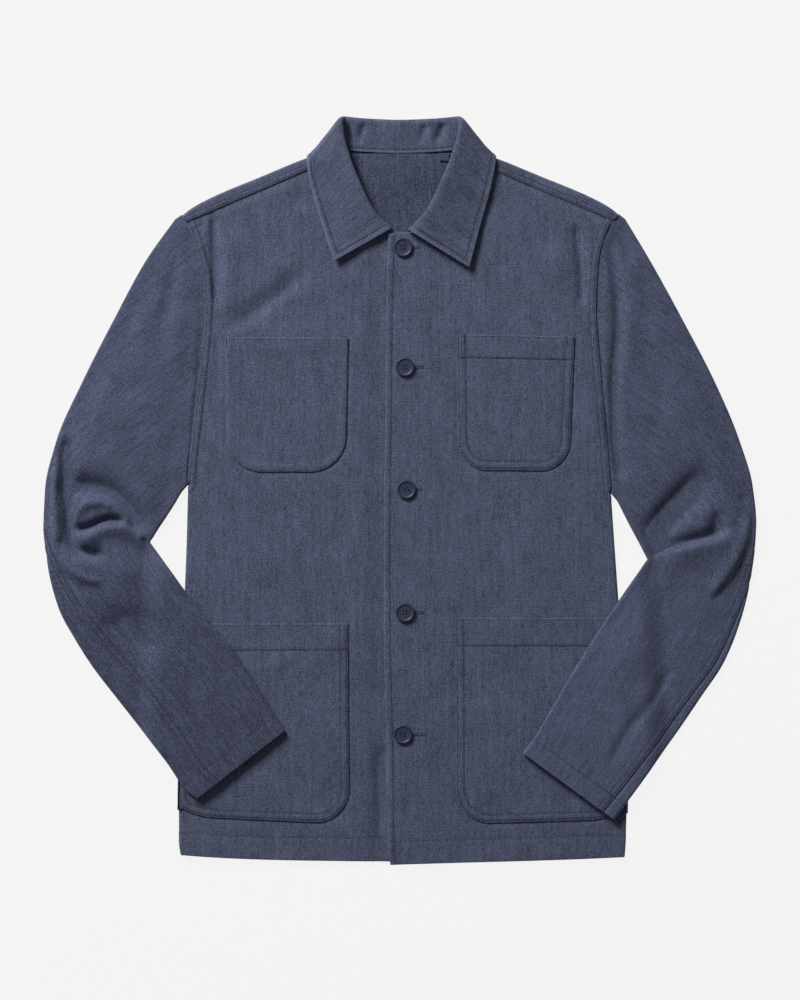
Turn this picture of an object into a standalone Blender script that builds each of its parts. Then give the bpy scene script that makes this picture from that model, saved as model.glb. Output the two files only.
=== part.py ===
"""Work overshirt laid flat on a table: buttoned, forearms folded in over the lower pockets.

World frame: metres, +X to the wearer's left, +Y towards the collar, +Z up from the table. The origin is
the middle of the garment's footprint, on the table. Tables and constants are in millimetres.
Every cloth piece is a sheet of points at the middle of the cloth, given its wall along the sheet's normals.
"""

import math

import bmesh
import bpy
import numpy as np

MM = 0.001
WALL = 1.6                            # cloth, with its turnings
GAP = 0.3                             # between pieces at a seam
REST = WALL / 2                       # middle of the cloth that lies on the table
ROLL = 2.3                            # radius where a panel turns under at the side and the shoulder
ROLL_OUT = ROLL + WALL / 2            # the same turn, at the cloth's outer face
ROLL_STEPS = 4                        # flats round that half turn
FRONT = REST + 2 * ROLL               # middle of the fronts above the table
NECK_LIFT = 2.0                       # the panels ride up over the collar's fall
PLACKET_RISE = 0.5                    # the upper front over the under one
PLACKET_DIP = 2.0                     # the under front below the upper one
SIDE_STITCH_IN = 34.0                 # side seam, in from the side on the underside
POCKET_WALL = 1.5
POCKET_SEAT = 0.35                    # pocket to the front it lies on
POCKET_HEIGHT = (WALL + POCKET_WALL) / 2 + POCKET_SEAT
FOREARM_SEAT = 0.45                   # forearm to the pocket it lies on
FOREARM_RISE = POCKET_HEIGHT + (POCKET_WALL + WALL) / 2 + FOREARM_SEAT + FRONT - REST
FRONT_ROW = 22.0                      # spacing of the mesh's rows
FRONT_COLUMNS = 13                    # columns across a front, up to its side roll
SAG_PEAK = 6.75                       # makes s * s * (1 - s) reach 1
SIDE_CALM = 0.12                      # share of a front's width over which folds die out at the side
ARMHOLE_EASE = 22.0                   # run above the underarm over which the side roll dies out
ARMHOLE_GAP = 0.45                    # from the armhole's line to the sleeve
TIP_GAP = 1.1                         # added where both turn under at the shoulder's tip
ARMHOLE_ROW = 15.0                    # spacing of the rows beside an armhole
BACK_ROW = 36.0
BACK_OUTER = 5                        # columns from the neck's side to the armhole
BACK_INNER = 3                        # columns from the neck's side to the middle
COLLAR_ROW = 18.0
COLLAR_TURN = 5.0                     # how far the collar's roll reaches past the stand
COLLAR_STAND = 2                      # rows of quads up the stand, round the roll and down the fall
COLLAR_ROLL = 5
COLLAR_FALL = 3
TOP_COLUMNS = 17                      # columns round the top and the under sleeve
UNDER_COLUMNS = 8
EDGE_SEAM_EASE = 0.8                  # added to half the elbow seam's gap where it turns round the edge
EDGE_SEAM_RUN = 10.0
SLEEVE_COSTS = (-6.0, 0.0, 4.0, 17.0, 21.0, 27.0)   # share of columns up to each straight or rim's end
SLEEVE_SHOULDER = 34.0                # run over which a sleeve swells from its edge
FOLD_FLOOR = 1.8                      # a fold never presses a sleeve's top layer lower than this
RAMP_STOP = 18.0                      # how far outside the torso a forearm has reached its height
POCKET_COLUMNS = 7
POCKET_ROWS = 8
BUTTON_RISE = 3.2
BUTTON_SEGMENTS = 16
HOLE_SEGMENTS = 6
BUTTON_PROFILE = (                    # radius and height, from the foot up and in
    (8.6, 0.0), (9.9, 0.9), (10.2, 1.9), (9.8, 2.9), (8.9, 3.2), (8.0, 2.9), (7.3, 2.3), (4.6, 2.2),
)
TAB_WALL = 1.0
BUTTON_HOLE = 1.0                     # radius of one of the four holes
BUTTON_PITCH = 1.9                    # from the button's middle to a hole, each way

# The upper front, on the wearer's left: its button edge and neckline, and its outer edge.
FRONT_LEFT_SECTIONS = (
    # section          inner x   inner y   outer x   outer y   sag
    ("hem",              -9.9,    -388.6,    233.4,   -380.7,  -0.6),
    ("hem turn",        -12.6,    -372.8,    234.6,   -364.4,  -0.5),
    ("pocket foot",     -13.4,    -321.9,    235.9,   -316.7,   0.0),
    ("cuff level",      -13.6,    -276.0,    235.0,   -270.0,   0.0),
    ("pocket mouth",    -16.4,    -160.7,    229.8,   -155.5,   0.0),
    ("waist",           -16.8,     -56.7,    223.1,    -56.7,   0.0),
    ("underarm",        -16.3,      -3.6,    219.4,     -3.6,   0.0),
    ("chest",           -15.6,      60.0,    214.5,     58.0,   0.0),
    ("pocket top",      -14.7,     146.0,    206.4,    144.0,   0.0),
    ("cross chest",     -14.1,     190.0,    203.6,    186.0,   0.0),
    ("high chest",      -13.4,     228.0,    204.8,    224.0,   0.0),
    ("placket top",     -11.3,     266.8,    208.2,    250.0,   0.0),
    ("front neck",        8.8,     267.5,    210.5,    258.5,   0.0),
    ("neck curve low",   41.1,     277.2,    213.4,    267.0,   0.0),
    ("neck curve",       68.1,     296.9,    217.0,    274.6,   0.0),
    ("neck side",        81.6,     317.7,    219.6,    278.4,   0.0),
    ("shoulder seam",    82.7,     338.5,    221.5,    280.3,   0.0),
)

# The under front, on the wearer's right. Its inner edge lies under the upper front.
FRONT_RIGHT_SECTIONS = (
    ("hem",              25.5,    -386.2,   -227.9,   -378.7,  -2.0),
    ("hem turn",         25.5,    -372.8,   -229.8,   -364.0,  -1.5),
    ("pocket foot",      25.5,    -321.9,   -231.4,   -321.9,   0.0),
    ("cuff level",       25.5,    -270.0,   -229.8,   -270.0,   0.0),
    ("pocket mouth",     25.5,    -160.7,   -226.2,   -160.7,   0.0),
    ("waist",            25.5,     -56.7,   -222.0,    -56.7,   0.0),
    ("underarm",         25.5,       5.7,   -220.2,      5.7,   0.0),
    ("chest",            25.5,      60.0,   -215.2,     60.0,   0.0),
    ("pocket top",       25.5,     146.0,   -205.6,    146.0,   0.0),
    ("cross chest",      25.5,     192.0,   -202.3,    190.0,   0.0),
    ("high chest",       25.5,     228.0,   -204.6,    224.0,   0.0),
    ("button edge top",  25.5,     267.0,   -210.0,    248.0,   0.0),
    ("front neck",       -8.8,     269.4,   -213.2,    258.0,   0.0),
    ("neck curve low",  -42.1,     277.0,   -216.6,    267.6,   0.0),
    ("neck curve",      -67.1,     295.5,   -219.2,    274.4,   0.0),
    ("neck side",       -80.6,     317.7,   -220.6,    277.6,   0.0),
    ("shoulder seam",   -81.8,     338.5,   -221.3,    279.0,   0.0),
)

# The back, below everything. Centre line, the line down from the neck's side, and the outer edges.
BACK_SECTIONS = (
    # section        centre y   neck x   neck y   right x  right y    left x   left y
    ("hem",            -384.0,    66.0,  -383.0,    199.5,  -374.0,   -196.0,  -374.0),
    ("pocket foot",    -320.0,    66.0,  -320.0,    202.0,  -316.7,   -197.0,  -320.0),
    ("pocket mouth",   -158.0,    66.0,  -158.0,    195.0,  -156.0,   -191.5,  -158.0),
    ("waist",           -56.7,    66.0,   -56.7,    191.0,   -56.7,   -190.0,   -56.7),
    ("underarm",         -3.6,    66.0,    -3.6,    215.6,    -3.6,   -216.4,     5.7),
    ("chest",            60.0,    66.0,    60.0,    213.6,    58.0,   -214.3,    60.0),
    ("pocket top",      146.0,    66.5,   146.0,    206.0,   144.0,   -205.2,   146.0),
    ("cross back",      192.0,    67.0,   190.0,    203.6,   186.0,   -202.3,   190.0),
    ("high back",       228.0,    68.0,   226.0,    204.8,   224.0,   -204.6,   224.0),
    ("armhole top",     268.0,    70.0,   262.0,    208.6,   250.0,   -210.4,   248.0),
    ("collar's fall",   303.0,    73.0,   303.0,    214.6,   267.0,   -216.6,   265.0),
    ("over the fall",   331.0,    75.5,   331.0,    220.0,   276.0,   -221.0,   274.6),
    ("top",             350.4,    77.6,   350.6,    225.4,   284.4,   -225.2,   283.0),
)

# The shoulder's outline and the forward shoulder seam: from the neck's side to the sleeve.
SHOULDERS = {
    # side:    outline at neck    outline at sleeve    seam at neck      seam at sleeve
    "left":  ((78.3, 352.6),      (228.4, 286.6),      (82.7, 338.5),    (221.5, 280.3)),
    "right": ((-76.0, 352.6),     (-227.4, 285.6),     (-81.8, 338.5),   (-221.3, 279.0)),
}

# The collar: neck seam, stand side of the roll, fall side of the roll, and fall edge.
COLLAR_SECTIONS = (
    # section         neck x, y, z          stand x, y, z          fall x, y, z          edge x, y, z
    ("right end",     -8.6, 270.2,  3.9,    -7.8, 273.6,  4.9,    -8.4, 272.2,  7.5,   -68.2, 237.6,  7.7),
    ("right front",  -40.6, 279.2,  5.4,   -26.4, 288.8,  6.6,   -25.0, 290.0, 10.0,   -74.9, 257.4,  7.9),
    ("right break",  -65.2, 297.2,  5.6,   -42.6, 320.6,  7.2,   -41.1, 321.9, 11.0,   -81.6, 279.2,  8.1),
    ("right side",   -79.9, 317.9,  6.5,   -52.4, 344.6,  8.0,   -50.6, 345.8, 11.4,   -88.4, 302.1,  8.6),
    ("right neck",   -81.0, 337.8,  7.4,   -58.0, 368.4,  8.4,   -58.0, 369.6, 11.8,   -93.8, 322.6,  9.4),
    ("right over",   -76.4, 349.4,  7.4,   -59.0, 383.0,  8.2,   -62.0, 383.6, 11.4,   -96.2, 337.4,  9.7),
    ("right turn",   -75.6, 351.2,  6.7,   -58.6, 387.0,  7.2,   -62.8, 387.4,  9.2,   -96.4, 343.6,  8.4),
    ("right corner", -75.2, 351.6,  5.1,   -57.6, 388.2,  5.9,   -62.6, 388.4,  5.6,   -96.2, 345.4,  5.2),
    ("right hook",   -74.6, 351.4,  3.5,   -56.0, 388.4,  5.0,   -60.4, 388.6,  2.6,   -94.8, 345.2,  1.6),
    ("right under",  -70.6, 351.2,  2.8,   -54.0, 388.4,  5.0,   -57.0, 388.6,  1.0,   -90.2, 340.6,  0.8),
    ("right blade",  -52.5, 351.0,  2.8,   -44.0, 387.4,  5.3,   -46.0, 387.4,  0.8,   -70.0, 338.5,  0.8),
    ("right back",   -28.0, 350.9,  2.8,   -24.0, 386.0,  5.6,   -25.0, 386.0,  0.8,   -34.0, 335.9,  0.8),
    ("centre back",   -0.5, 350.9,  2.8,    -0.5, 385.2,  5.6,    -0.5, 385.2,  0.8,    -0.5, 335.4,  0.8),
    ("left back",     30.0, 350.9,  2.8,    25.0, 386.0,  5.6,    26.0, 386.0,  0.8,    36.0, 335.9,  0.8),
    ("left blade",    55.0, 351.0,  2.8,    46.0, 387.4,  5.3,    48.0, 387.4,  0.8,    72.0, 338.5,  0.8),
    ("left under",    73.0, 351.2,  2.8,    56.0, 388.4,  5.0,    59.0, 388.6,  1.0,    92.2, 341.0,  0.8),
    ("left hook",     77.0, 351.4,  3.5,    58.0, 388.4,  5.0,    62.4, 388.6,  2.6,    97.8, 345.8,  1.6),
    ("left corner",   77.6, 351.6,  5.1,    59.6, 388.2,  5.9,    64.6, 388.4,  5.6,    99.2, 346.0,  5.2),
    ("left turn",     78.0, 351.2,  6.7,    60.6, 387.0,  7.2,    64.8, 387.4,  9.2,    99.4, 344.2,  8.4),
    ("left over",     78.5, 349.4,  7.4,    61.0, 383.0,  8.2,    64.0, 383.6, 11.4,    99.0, 338.0,  9.7),
    ("left neck",     81.9, 337.8,  7.4,    59.4, 368.4,  8.4,    59.4, 369.6, 11.8,    96.0, 323.4,  9.4),
    ("left side",     80.9, 317.9,  6.5,    52.8, 344.0,  8.0,    51.4, 345.2, 11.4,    91.6, 304.6,  8.6),
    ("left break",    66.3, 298.4,  5.8,    42.4, 319.0,  7.4,    41.0, 320.4, 11.0,    85.3, 282.4,  8.2),
    ("left front",    40.0, 279.2,  6.0,    27.4, 289.4,  7.2,    26.2, 290.8, 10.4,    78.5, 257.4,  8.2),
    ("left end",       9.2, 268.3,  6.0,     7.6, 271.4,  7.0,     8.6, 269.8,  9.6,    71.6, 231.0,  8.2),
)

# Sleeves, from the armhole to the cuff: the inner edge, the outer edge, how thick the two layers lie, and
# how far the elbow seam shows in from the outer edge (below 0: how far it lies round underneath).
SLEEVE_RIGHT_SECTIONS = (
    # section          inner x   inner y   outer x   outer y   loft   seam in
    ("armhole",         -221.2,      6.4,   -229.2,    285.4,   4.6,   -20.0),
    ("cap",             -226.0,     -2.2,   -264.7,    239.7,   6.0,   -20.0),
    ("upper arm",       -233.2,    -13.6,   -299.0,    177.3,   7.4,   -20.0),
    ("mid arm",         -241.6,    -26.3,   -330.7,    114.9,   8.4,   -20.0),
    ("low arm",         -249.9,    -38.9,   -358.0,     52.5,   9.2,   -18.0),
    ("elbow top",       -256.2,    -48.9,   -369.0,      2.0,   9.6,   -12.0),
    ("elbow",           -259.1,    -53.6,   -370.5,    -36.0,  10.0,    -5.0),
    ("elbow turn",      -257.2,    -56.7,   -366.4,    -77.5,  10.0,     4.0),
    ("elbow foot",      -250.1,    -66.0,   -356.2,   -121.2,   8.8,    14.0),
    ("forearm top",     -237.6,    -82.7,   -338.5,   -155.5,   7.6,    20.0),
    ("forearm",         -224.1,   -101.4,   -317.7,   -186.0,   6.6,    24.0),
    ("forearm middle",  -203.3,   -127.4,   -294.8,   -218.0,   6.0,    27.0),
    ("over the pocket", -179.9,   -155.5,   -269.9,   -250.0,   5.6,    26.0),
    ("wrist",           -156.5,   -189.8,   -245.2,   -281.8,   5.3,    24.0),
    ("cuff seam",       -134.8,   -224.1,   -224.1,   -307.6,   5.1,    23.0),
    ("cuff",            -119.1,   -249.1,   -210.6,   -319.8,   5.1,    23.0),
)

SLEEVE_LEFT_SECTIONS = (
    ("armhole",          220.6,     -2.9,    230.4,    286.3,   4.6,   -20.0),
    ("cap",              225.0,    -11.6,    261.6,    235.6,   6.0,   -20.0),
    ("upper arm",        231.2,    -23.0,    294.8,    175.2,   7.4,   -20.0),
    ("mid arm",          238.4,    -36.6,    325.0,    114.9,   8.4,   -20.0),
    ("low arm",          245.6,    -50.2,    350.6,     55.6,   9.2,   -18.0),
    ("elbow top",        252.6,    -64.0,    366.4,      6.0,   9.6,   -14.0),
    ("elbow",            256.3,    -71.8,    370.4,    -33.0,  10.0,    -9.0),
    ("elbow turn",       254.0,    -74.8,    368.2,    -64.0,  10.0,    -4.0),
    ("elbow foot",       246.0,    -85.8,    362.4,   -103.5,   8.8,     3.0),
    ("forearm top",      233.5,   -103.5,    352.6,   -139.9,   7.6,     7.0),
    ("forearm",          215.8,   -129.5,    336.4,   -179.4,   6.6,     9.0),
    ("forearm middle",   198.5,   -155.5,    313.6,   -213.7,   6.0,    10.5),
    ("over the pocket",  177.3,   -189.8,    289.6,   -249.1,   5.6,    12.0),
    ("wrist",            158.6,   -222.0,    264.7,   -283.4,   5.3,    13.0),
    ("cuff seam",        140.0,   -254.0,    240.6,   -316.4,   5.1,    14.0),
    ("cuff",             126.9,   -272.0,    221.7,   -341.2,   5.1,    15.0),
)
SLEEVE_ROWS = (0, 0.35, 0.8, 1.4, 2.0, 2.6, 3.2, 3.8, 4.4, 5.0, 5.5, 5.85, 6.05, 6.3, 6.8, 7.4, 8.2, 9.0,
               9.8, 10.6, 11.4, 12.2, 13.0, 13.8, 14.4, 15.0)
INNER_SEAM_IN = 16.0                  # the sleeves' inner seam, in from the inner edge underneath
ARMHOLE_FADE = 3.6                    # sections over which the armhole's curve dies out
RAMP = 28.0                           # run over which a forearm climbs onto the body

# Folds in the fronts: soft troughs (below 0) and ridges from one end to the other.
FRONT_FOLDS = (
    # fold                     x0      y0       x1      y1    half width  height
    ("right shoulder drag",  -193.0,  286.0,  -188.0,  168.0,    7.0,     -1.7),
    ("beside the drag",      -176.0,  272.0,  -172.0,  180.0,    9.0,      1.1),
    ("right chest fall",     -142.0,  186.0,  -184.0,  163.0,    8.0,     -1.3),
    ("right pocket side",    -188.0,  158.0,  -187.0,   96.0,    6.0,     -1.5),
    ("under right leaf",     -100.0,  300.0,  -112.0,  286.0,    9.0,     -1.0),
    ("left shoulder drag",    176.0,  294.0,   190.0,  196.0,    8.0,     -1.6),
    ("beside left drag",      158.0,  286.0,   172.0,  206.0,   10.0,      1.1),
    ("below left pocket",     196.0,  120.0,   202.0,   40.0,    8.0,      0.9),
    ("placket hollow",        -26.0, -262.0,   -24.0, -366.0,    9.0,     -1.1),
    ("right waist swell",    -120.0,  -50.0,  -150.0, -104.0,   26.0,      1.4),
    ("left waist swell",      130.0,  -46.0,   150.0, -104.0,   26.0,      1.4),
    ("right belly",           -70.0,    6.0,   -66.0,  -92.0,   20.0,     -0.9),
)

# Folds in the sleeves' upper layer.
RIGHT_SLEEVE_FOLDS = (
    ("outer trough",         -354.0,   44.0,  -343.0,  -66.0,    6.0,     -4.0),
    ("outer ridge",          -362.0,   20.0,  -357.0,  -60.0,    6.0,      1.6),
    ("roll above the slit",  -338.0,    8.0,  -292.0,   -8.0,   11.0,     -3.6),
    ("roll to inner elbow",  -292.0,   -8.0,  -266.0,  -38.0,    8.0,     -3.2),
    ("lobe",                 -328.0,  -10.0,  -290.0,  -12.0,    8.0,      2.4),
    ("slit",                 -332.0,  -37.0,  -290.0,  -23.0,    6.0,     -6.0),
    ("fold edge",            -316.0,  -47.0,  -264.0,  -55.0,    7.0,      4.6),
    ("below the fold",       -332.0,  -70.0,  -296.0,  -66.0,    9.0,     -3.4),
    ("forearm hollow",       -306.0, -104.0,  -258.0, -146.0,   20.0,     -2.0),
    ("head drape",           -234.0,  236.0,  -246.0,  176.0,    9.0,     -1.8),
    ("head swell",           -232.0,  200.0,  -250.0,  110.0,   20.0,      1.8),
    ("arm swell",            -300.0,  110.0,  -296.0,   30.0,   26.0,      2.2),
)
LEFT_SLEEVE_FOLDS = (
    ("trough to the elbow",   268.0,  -46.0,   286.0,  -12.0,    9.0,     -3.6),
    ("trough up the arm",     286.0,  -12.0,   318.0,   24.0,   13.0,     -4.2),
    ("pillow by the fold",    290.0,  -40.0,   322.0,   -8.0,   14.0,      2.0),
    ("outer pinch",           346.0,  -12.0,   334.0,  -38.0,    8.0,     -2.6),
    ("under the fold edge",   262.0,  -66.0,   330.0,  -45.0,    7.0,     -4.4),
    ("fold edge",             262.0,  -80.0,   338.0,  -56.0,    9.0,      3.6),
    ("forearm ridge",         366.0,  -36.0,   322.0, -112.0,    8.0,      2.6),
    ("below the ridge",       352.0,  -90.0,   316.0, -160.0,   14.0,     -1.8),
    ("head drape",            226.0,  262.0,   232.0,  196.0,    8.0,     -2.0),
    ("second drape",          244.0,  240.0,   258.0,  176.0,    9.0,     -1.6),
    ("arm swell",             282.0,  120.0,   286.0,   40.0,   28.0,      2.2),
)

# Patch pockets: top edge, side and rounded foot. Outlines are in millimetres on the front.
CHEST_POCKETS = {
    # side:    left top         right top        left foot       right foot     corner radius
    "right": ((-181.7, 159.1), (-53.4, 157.9), (-179.6, 19.6), (-56.6, 19.6), 36.0),
    "left":  ((58.8, 162.2),   (181.4, 159.6), (60.6, 21.6),   (175.4, 20.4), 30.0),
}
LOWER_POCKETS = {
    "right": ((-221.6, -138.1), (-54.2, -138.1), (-227.2, -336.0), (-52.2, -345.8), 36.0),
    "left":  ((57.6, -132.3),   (225.2, -132.3), (58.4, -346.0),   (231.4, -341.0), 36.0),
}
BUTTONS = (
    # name        x       y     turn
    ("button_1", 3.1,  252.2,  12.0),
    ("button_2", 5.1,  128.1,  -8.0),
    ("button_3", 6.7,    1.1,  20.0),
    ("button_4", 5.2, -126.6,   5.0),
    ("button_5", 3.1, -253.1, -14.0),
)
TAB = (46.0, 349.6, 11.4, 7.4)         # middle x, top y, width and length of the bare label tab

CLOTH = (0.075, 0.083, 0.125)
CLOTH_DARK = (0.062, 0.070, 0.108)
BUTTON_COLOUR = (0.036, 0.044, 0.075)
TAB_COLOUR = (0.11, 0.12, 0.17)


def smooth(keys, values, at):
    """Values at the given places on a monotone cubic through the keyed rows, one column at a time."""
    keys = np.asarray(keys, float)
    values = np.asarray(values, float).reshape(len(keys), -1)
    at = np.atleast_1d(np.asarray(at, float))
    step = np.diff(keys)[:, None]
    slope = np.diff(values, axis=0) / step
    tangent = np.zeros_like(values)
    before, after = slope[:-1], slope[1:]
    same_way = before * after > 0
    mean = 2 * before * after / np.where(same_way, before + after, 1)
    tangent[1:-1] = np.where(same_way, mean, 0)
    tangent[0], tangent[-1] = slope[0], slope[-1]
    i = np.clip(np.searchsorted(keys, at, side="right") - 1, 0, len(keys) - 2)
    h = step[i]
    t = ((at - keys[i]) / (keys[i + 1] - keys[i]))[:, None]
    return (
        values[i] * (1 + 2 * t) * (1 - t) ** 2
        + values[i + 1] * t * t * (3 - 2 * t)
        + tangent[i] * h * t * (1 - t) ** 2
        + tangent[i + 1] * h * t * t * (t - 1)
    )


def step_up(x, low, high):
    """0 below low, 1 above high, and a smooth rise between."""
    t = np.clip((np.asarray(x, float) - low) / (high - low), 0, 1)
    return t * t * (3 - 2 * t)


def folds_at(x, y, folds):
    """Height that the folds add at points of the plan."""
    total = np.zeros(np.broadcast(x, y).shape)
    for _, x0, y0, x1, y1, width, height in folds:
        along = np.array((x1 - x0, y1 - y0))
        length = np.hypot(*along)
        t = ((x - x0) * along[0] + (y - y0) * along[1]) / length ** 2
        across = np.hypot(x - x0 - np.clip(t, 0, 1) * along[0], y - y0 - np.clip(t, 0, 1) * along[1])
        total += height * np.exp(-(across / width) ** 2)
    return total


def neck_lift(x, y):
    """How far the collar's fall, lying underneath, lifts the panels round the neck."""
    return NECK_LIFT * step_up(y, 302, 332) * step_up(-np.abs(x), -150, -104)


def pocket_calm(x, y):
    """1 away from the pockets and the collar's leaves, and 0 where a piece lies close on the fronts."""
    calm = np.ones(np.broadcast(x, y).shape)
    for table in (CHEST_POCKETS, LOWER_POCKETS):
        for top_in, top_out, foot_in, foot_out, _ in table.values():
            low_x, high_x = min(top_in[0], foot_in[0]), max(top_out[0], foot_out[0])
            low_y, high_y = min(foot_in[1], foot_out[1]), max(top_in[1], top_out[1])
            inside_x = step_up(x, low_x - 9, low_x - 3) * step_up(-x, -high_x - 9, -high_x - 3)
            inside_y = step_up(y, low_y - 9, low_y - 3) * step_up(-y, -high_y - 9, -high_y - 3)
            calm = calm * (1 - inside_x * inside_y)
    under_leaf = step_up(-np.abs(x), -106, -96) * step_up(y, 224, 238)
    return calm * (1 - under_leaf)


def front_height(x, y, upper):
    """Middle of a front above the table."""
    z = FRONT + neck_lift(x, y) + folds_at(x, y, FRONT_FOLDS) * pocket_calm(x, y)
    if upper:
        return z + PLACKET_RISE * step_up(-x, -44, -26)
    return z - PLACKET_DIP * step_up(x, -40, -20)


def section_keys(points):
    """Places of the sections along a panel: the mean length of the paths through their points."""
    steps = np.linalg.norm(np.diff(points, axis=0), axis=2).mean(axis=1)
    return np.concatenate(([0], np.cumsum(steps)))


def material(name, colour, roughness):
    """A Principled material of one colour."""
    made = bpy.data.materials.new(name)
    made.use_nodes = True
    shader = made.node_tree.nodes["Principled BSDF"]
    shader.inputs["Base Color"].default_value = (*colour, 1)
    shader.inputs["Roughness"].default_value = roughness
    shader.inputs["Metallic"].default_value = 0
    made.diffuse_color = (*colour, 1)
    return made


def add_object(name, vertices, faces, finish):
    """A named object from points in millimetres."""
    mesh = bpy.data.meshes.new(name)
    mesh.from_pydata([tuple(MM * c for c in v) for v in vertices], [], faces)
    mesh.materials.append(finish)
    made = bpy.data.objects.new(name, mesh)
    bpy.context.scene.collection.objects.link(made)
    mesh.shade_smooth()
    mesh.set_sharp_from_angle(angle=math.radians(40))
    return made


def grid_faces(rows, columns, wanted=None):
    """Quads of a grid of points, by row and column, leaving out those that aren't wanted."""
    return [
        (i * columns + j, i * columns + j + 1, (i + 1) * columns + j + 1, (i + 1) * columns + j)
        for i in range(rows - 1)
        for j in range(columns - 1)
        if wanted is None or wanted(i, j)
    ]


def thicken(points, faces, wall, shape):
    """A closed wall, half on each side of the sheet; shape is the larger sheet that sets its slopes."""
    points = np.asarray(points, float)
    normals = np.zeros_like(points)
    for face in shape:
        a, b, c, d = (points[k] for k in face)
        normal = np.cross(c - a, d - b)
        size = np.linalg.norm(normal)
        if size > 1e-9:
            for k in face:
                normals[k] += normal / size
    used = sorted({k for face in faces for k in face})
    place = {k: n for n, k in enumerate(used)}
    faces = [tuple(place[k] for k in face) for face in faces]
    points, normals = points[used], normals[used]
    normals /= np.linalg.norm(normals, axis=1)[:, None]
    count = len(points)
    vertices = np.vstack((points + normals * wall / 2, points - normals * wall / 2))
    edges = {}
    for face in faces:
        for a, b in zip(face, face[1:] + face[:1]):
            edges[(a, b)] = True
    rims = [(b, a, a + count, b + count) for a, b in edges if (b, a) not in edges]
    closed = list(faces) + [tuple(k + count for k in reversed(face)) for face in faces] + rims
    return vertices, closed


def sheet_object(name, points, faces, finish, wall=WALL, flip=False, shape=None):
    """A cloth piece from the sheet through the middle of its wall."""
    shape = shape or faces
    if flip:
        faces = [tuple(reversed(face)) for face in faces]
        shape = [tuple(reversed(face)) for face in shape]
    vertices, closed = thicken(points, faces, wall, shape)
    return add_object(name, vertices, closed, finish)


def edge_table(sections):
    """A front's outer edge as heights and places across, from the hem to the shoulder."""
    return [r[4] for r in sections], [r[3] for r in sections]


def edge_x(side, y):
    """Where the torso's outline, or the armhole above the underarm, lies across at given heights."""
    heights, places = edge_table(FRONT_LEFT_SECTIONS if side == "left" else FRONT_RIGHT_SECTIONS)
    (_, _), tip, _, _ = SHOULDERS[side]
    return smooth(heights + [tip[1]], places + [tip[0]], y)[:, 0]


def seam_x(side, y):
    """Where the side seam lies across, on the underside."""
    table = FRONT_LEFT_SECTIONS if side == "left" else FRONT_RIGHT_SECTIONS
    heights = {r[0]: r[4] for r in table}
    sign = 1 if side == "left" else -1
    below = np.clip((heights["underarm"] - np.asarray(y)) / (heights["underarm"] - heights["waist"]), 0, 1)
    return edge_x(side, y) - sign * (ROLL_OUT + GAP / 2 + SIDE_STITCH_IN * below)


def section_places(points, spacing, change=0, spacing_after=0):
    """Places along a panel with a row on each section and even rows between, closer after a section."""
    keys = section_keys(points)
    places = [keys[0]]
    for n, (low, high) in enumerate(zip(keys, keys[1:])):
        wanted = spacing_after if change and n >= change else spacing
        count = max(1, round((high - low) / wanted))
        places += list(np.linspace(low, high, count + 1)[1:])
    return keys, np.array(places)


def half_turn(centre, outward, low, high, turn):
    """Middle of the cloth round a half turn: 0 on the upper layer, 1 on the lower."""
    radius = (high - low) / 2
    angle = math.pi * turn
    x, y = np.asarray(centre) + np.asarray(outward) * ROLL * math.sin(angle)
    return (x, y, low + radius + radius * math.cos(angle))


def front_sheet(sections, upper):
    """Sheet of a front: button edge to side, round the side's roll, and to the side seam underneath."""
    side = "left" if upper else "right"
    sign = 1 if upper else -1
    ends = np.array([((r[1], r[2]), (r[3], r[4])) for r in sections])
    names = [r[0] for r in sections]
    keys, at = section_places(ends, FRONT_ROW, names.index("underarm"), ARMHOLE_ROW)
    underarm = keys[names.index("underarm")]
    neck = keys[names.index("neck curve low")]
    inner = smooth(keys, ends[:, 0], at)
    outer = smooth(keys, ends[:, 1], at)
    sag = smooth(keys, [r[5] for r in sections], at)[:, 0]
    shares = np.linspace(0, 1, FRONT_COLUMNS + 1)
    outward = np.array((sign, 0.0))
    points = []
    for place, start, end, drop in zip(at, inner, outer, sag):
        rolled = place <= underarm
        along = (end - start) / np.linalg.norm(end - start)
        fade = 1 - float(step_up(place, underarm, underarm + ARMHOLE_EASE))
        start = start + along * GAP / 2 * (place > neck)
        end = np.array((edge_x(side, end[1])[0], end[1])) - along * (GAP / 2 + (ROLL_OUT - GAP / 2) * fade)
        if place == at[-1]:
            start, end = start - (0, GAP / 2), end - (0, GAP / 2)
        row = start + np.outer(shares, end - start)
        row[:, 1] += drop * SAG_PEAK * shares ** 2 * (1 - shares)
        flat = FRONT + neck_lift(row[:, 0], row[:, 1])
        calm = step_up(1 - shares, 0, SIDE_CALM)
        height = flat + (front_height(row[:, 0], row[:, 1], upper) - flat) * np.where(shares > 0.5, calm, 1)
        points += [(x, y, z) for (x, y), z in zip(row, height)]
        centre = end if rolled else start
        turns = np.linspace(0, 1, ROLL_STEPS + 1)[1:]
        points += [half_turn(centre, outward, REST, FRONT, turn) for turn in turns]
        points.append((seam_x(side, centre[1])[0] + sign * GAP / 2, centre[1], REST))
    wide = FRONT_COLUMNS + 1 + ROLL_STEPS + 1
    last_rolled = int(np.searchsorted(at, underarm + 0.01)) - 1
    faces = grid_faces(len(at), wide, lambda i, j: j < FRONT_COLUMNS or i < last_rolled)
    return np.array(points), faces


def front(side, finish):
    """One front, with the strip of it that wraps round under the back."""
    upper = side == "left"
    points, faces = front_sheet(FRONT_LEFT_SECTIONS if upper else FRONT_RIGHT_SECTIONS, upper)
    return sheet_object(f"front_{side}", points, faces, finish, flip=not upper)


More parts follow.
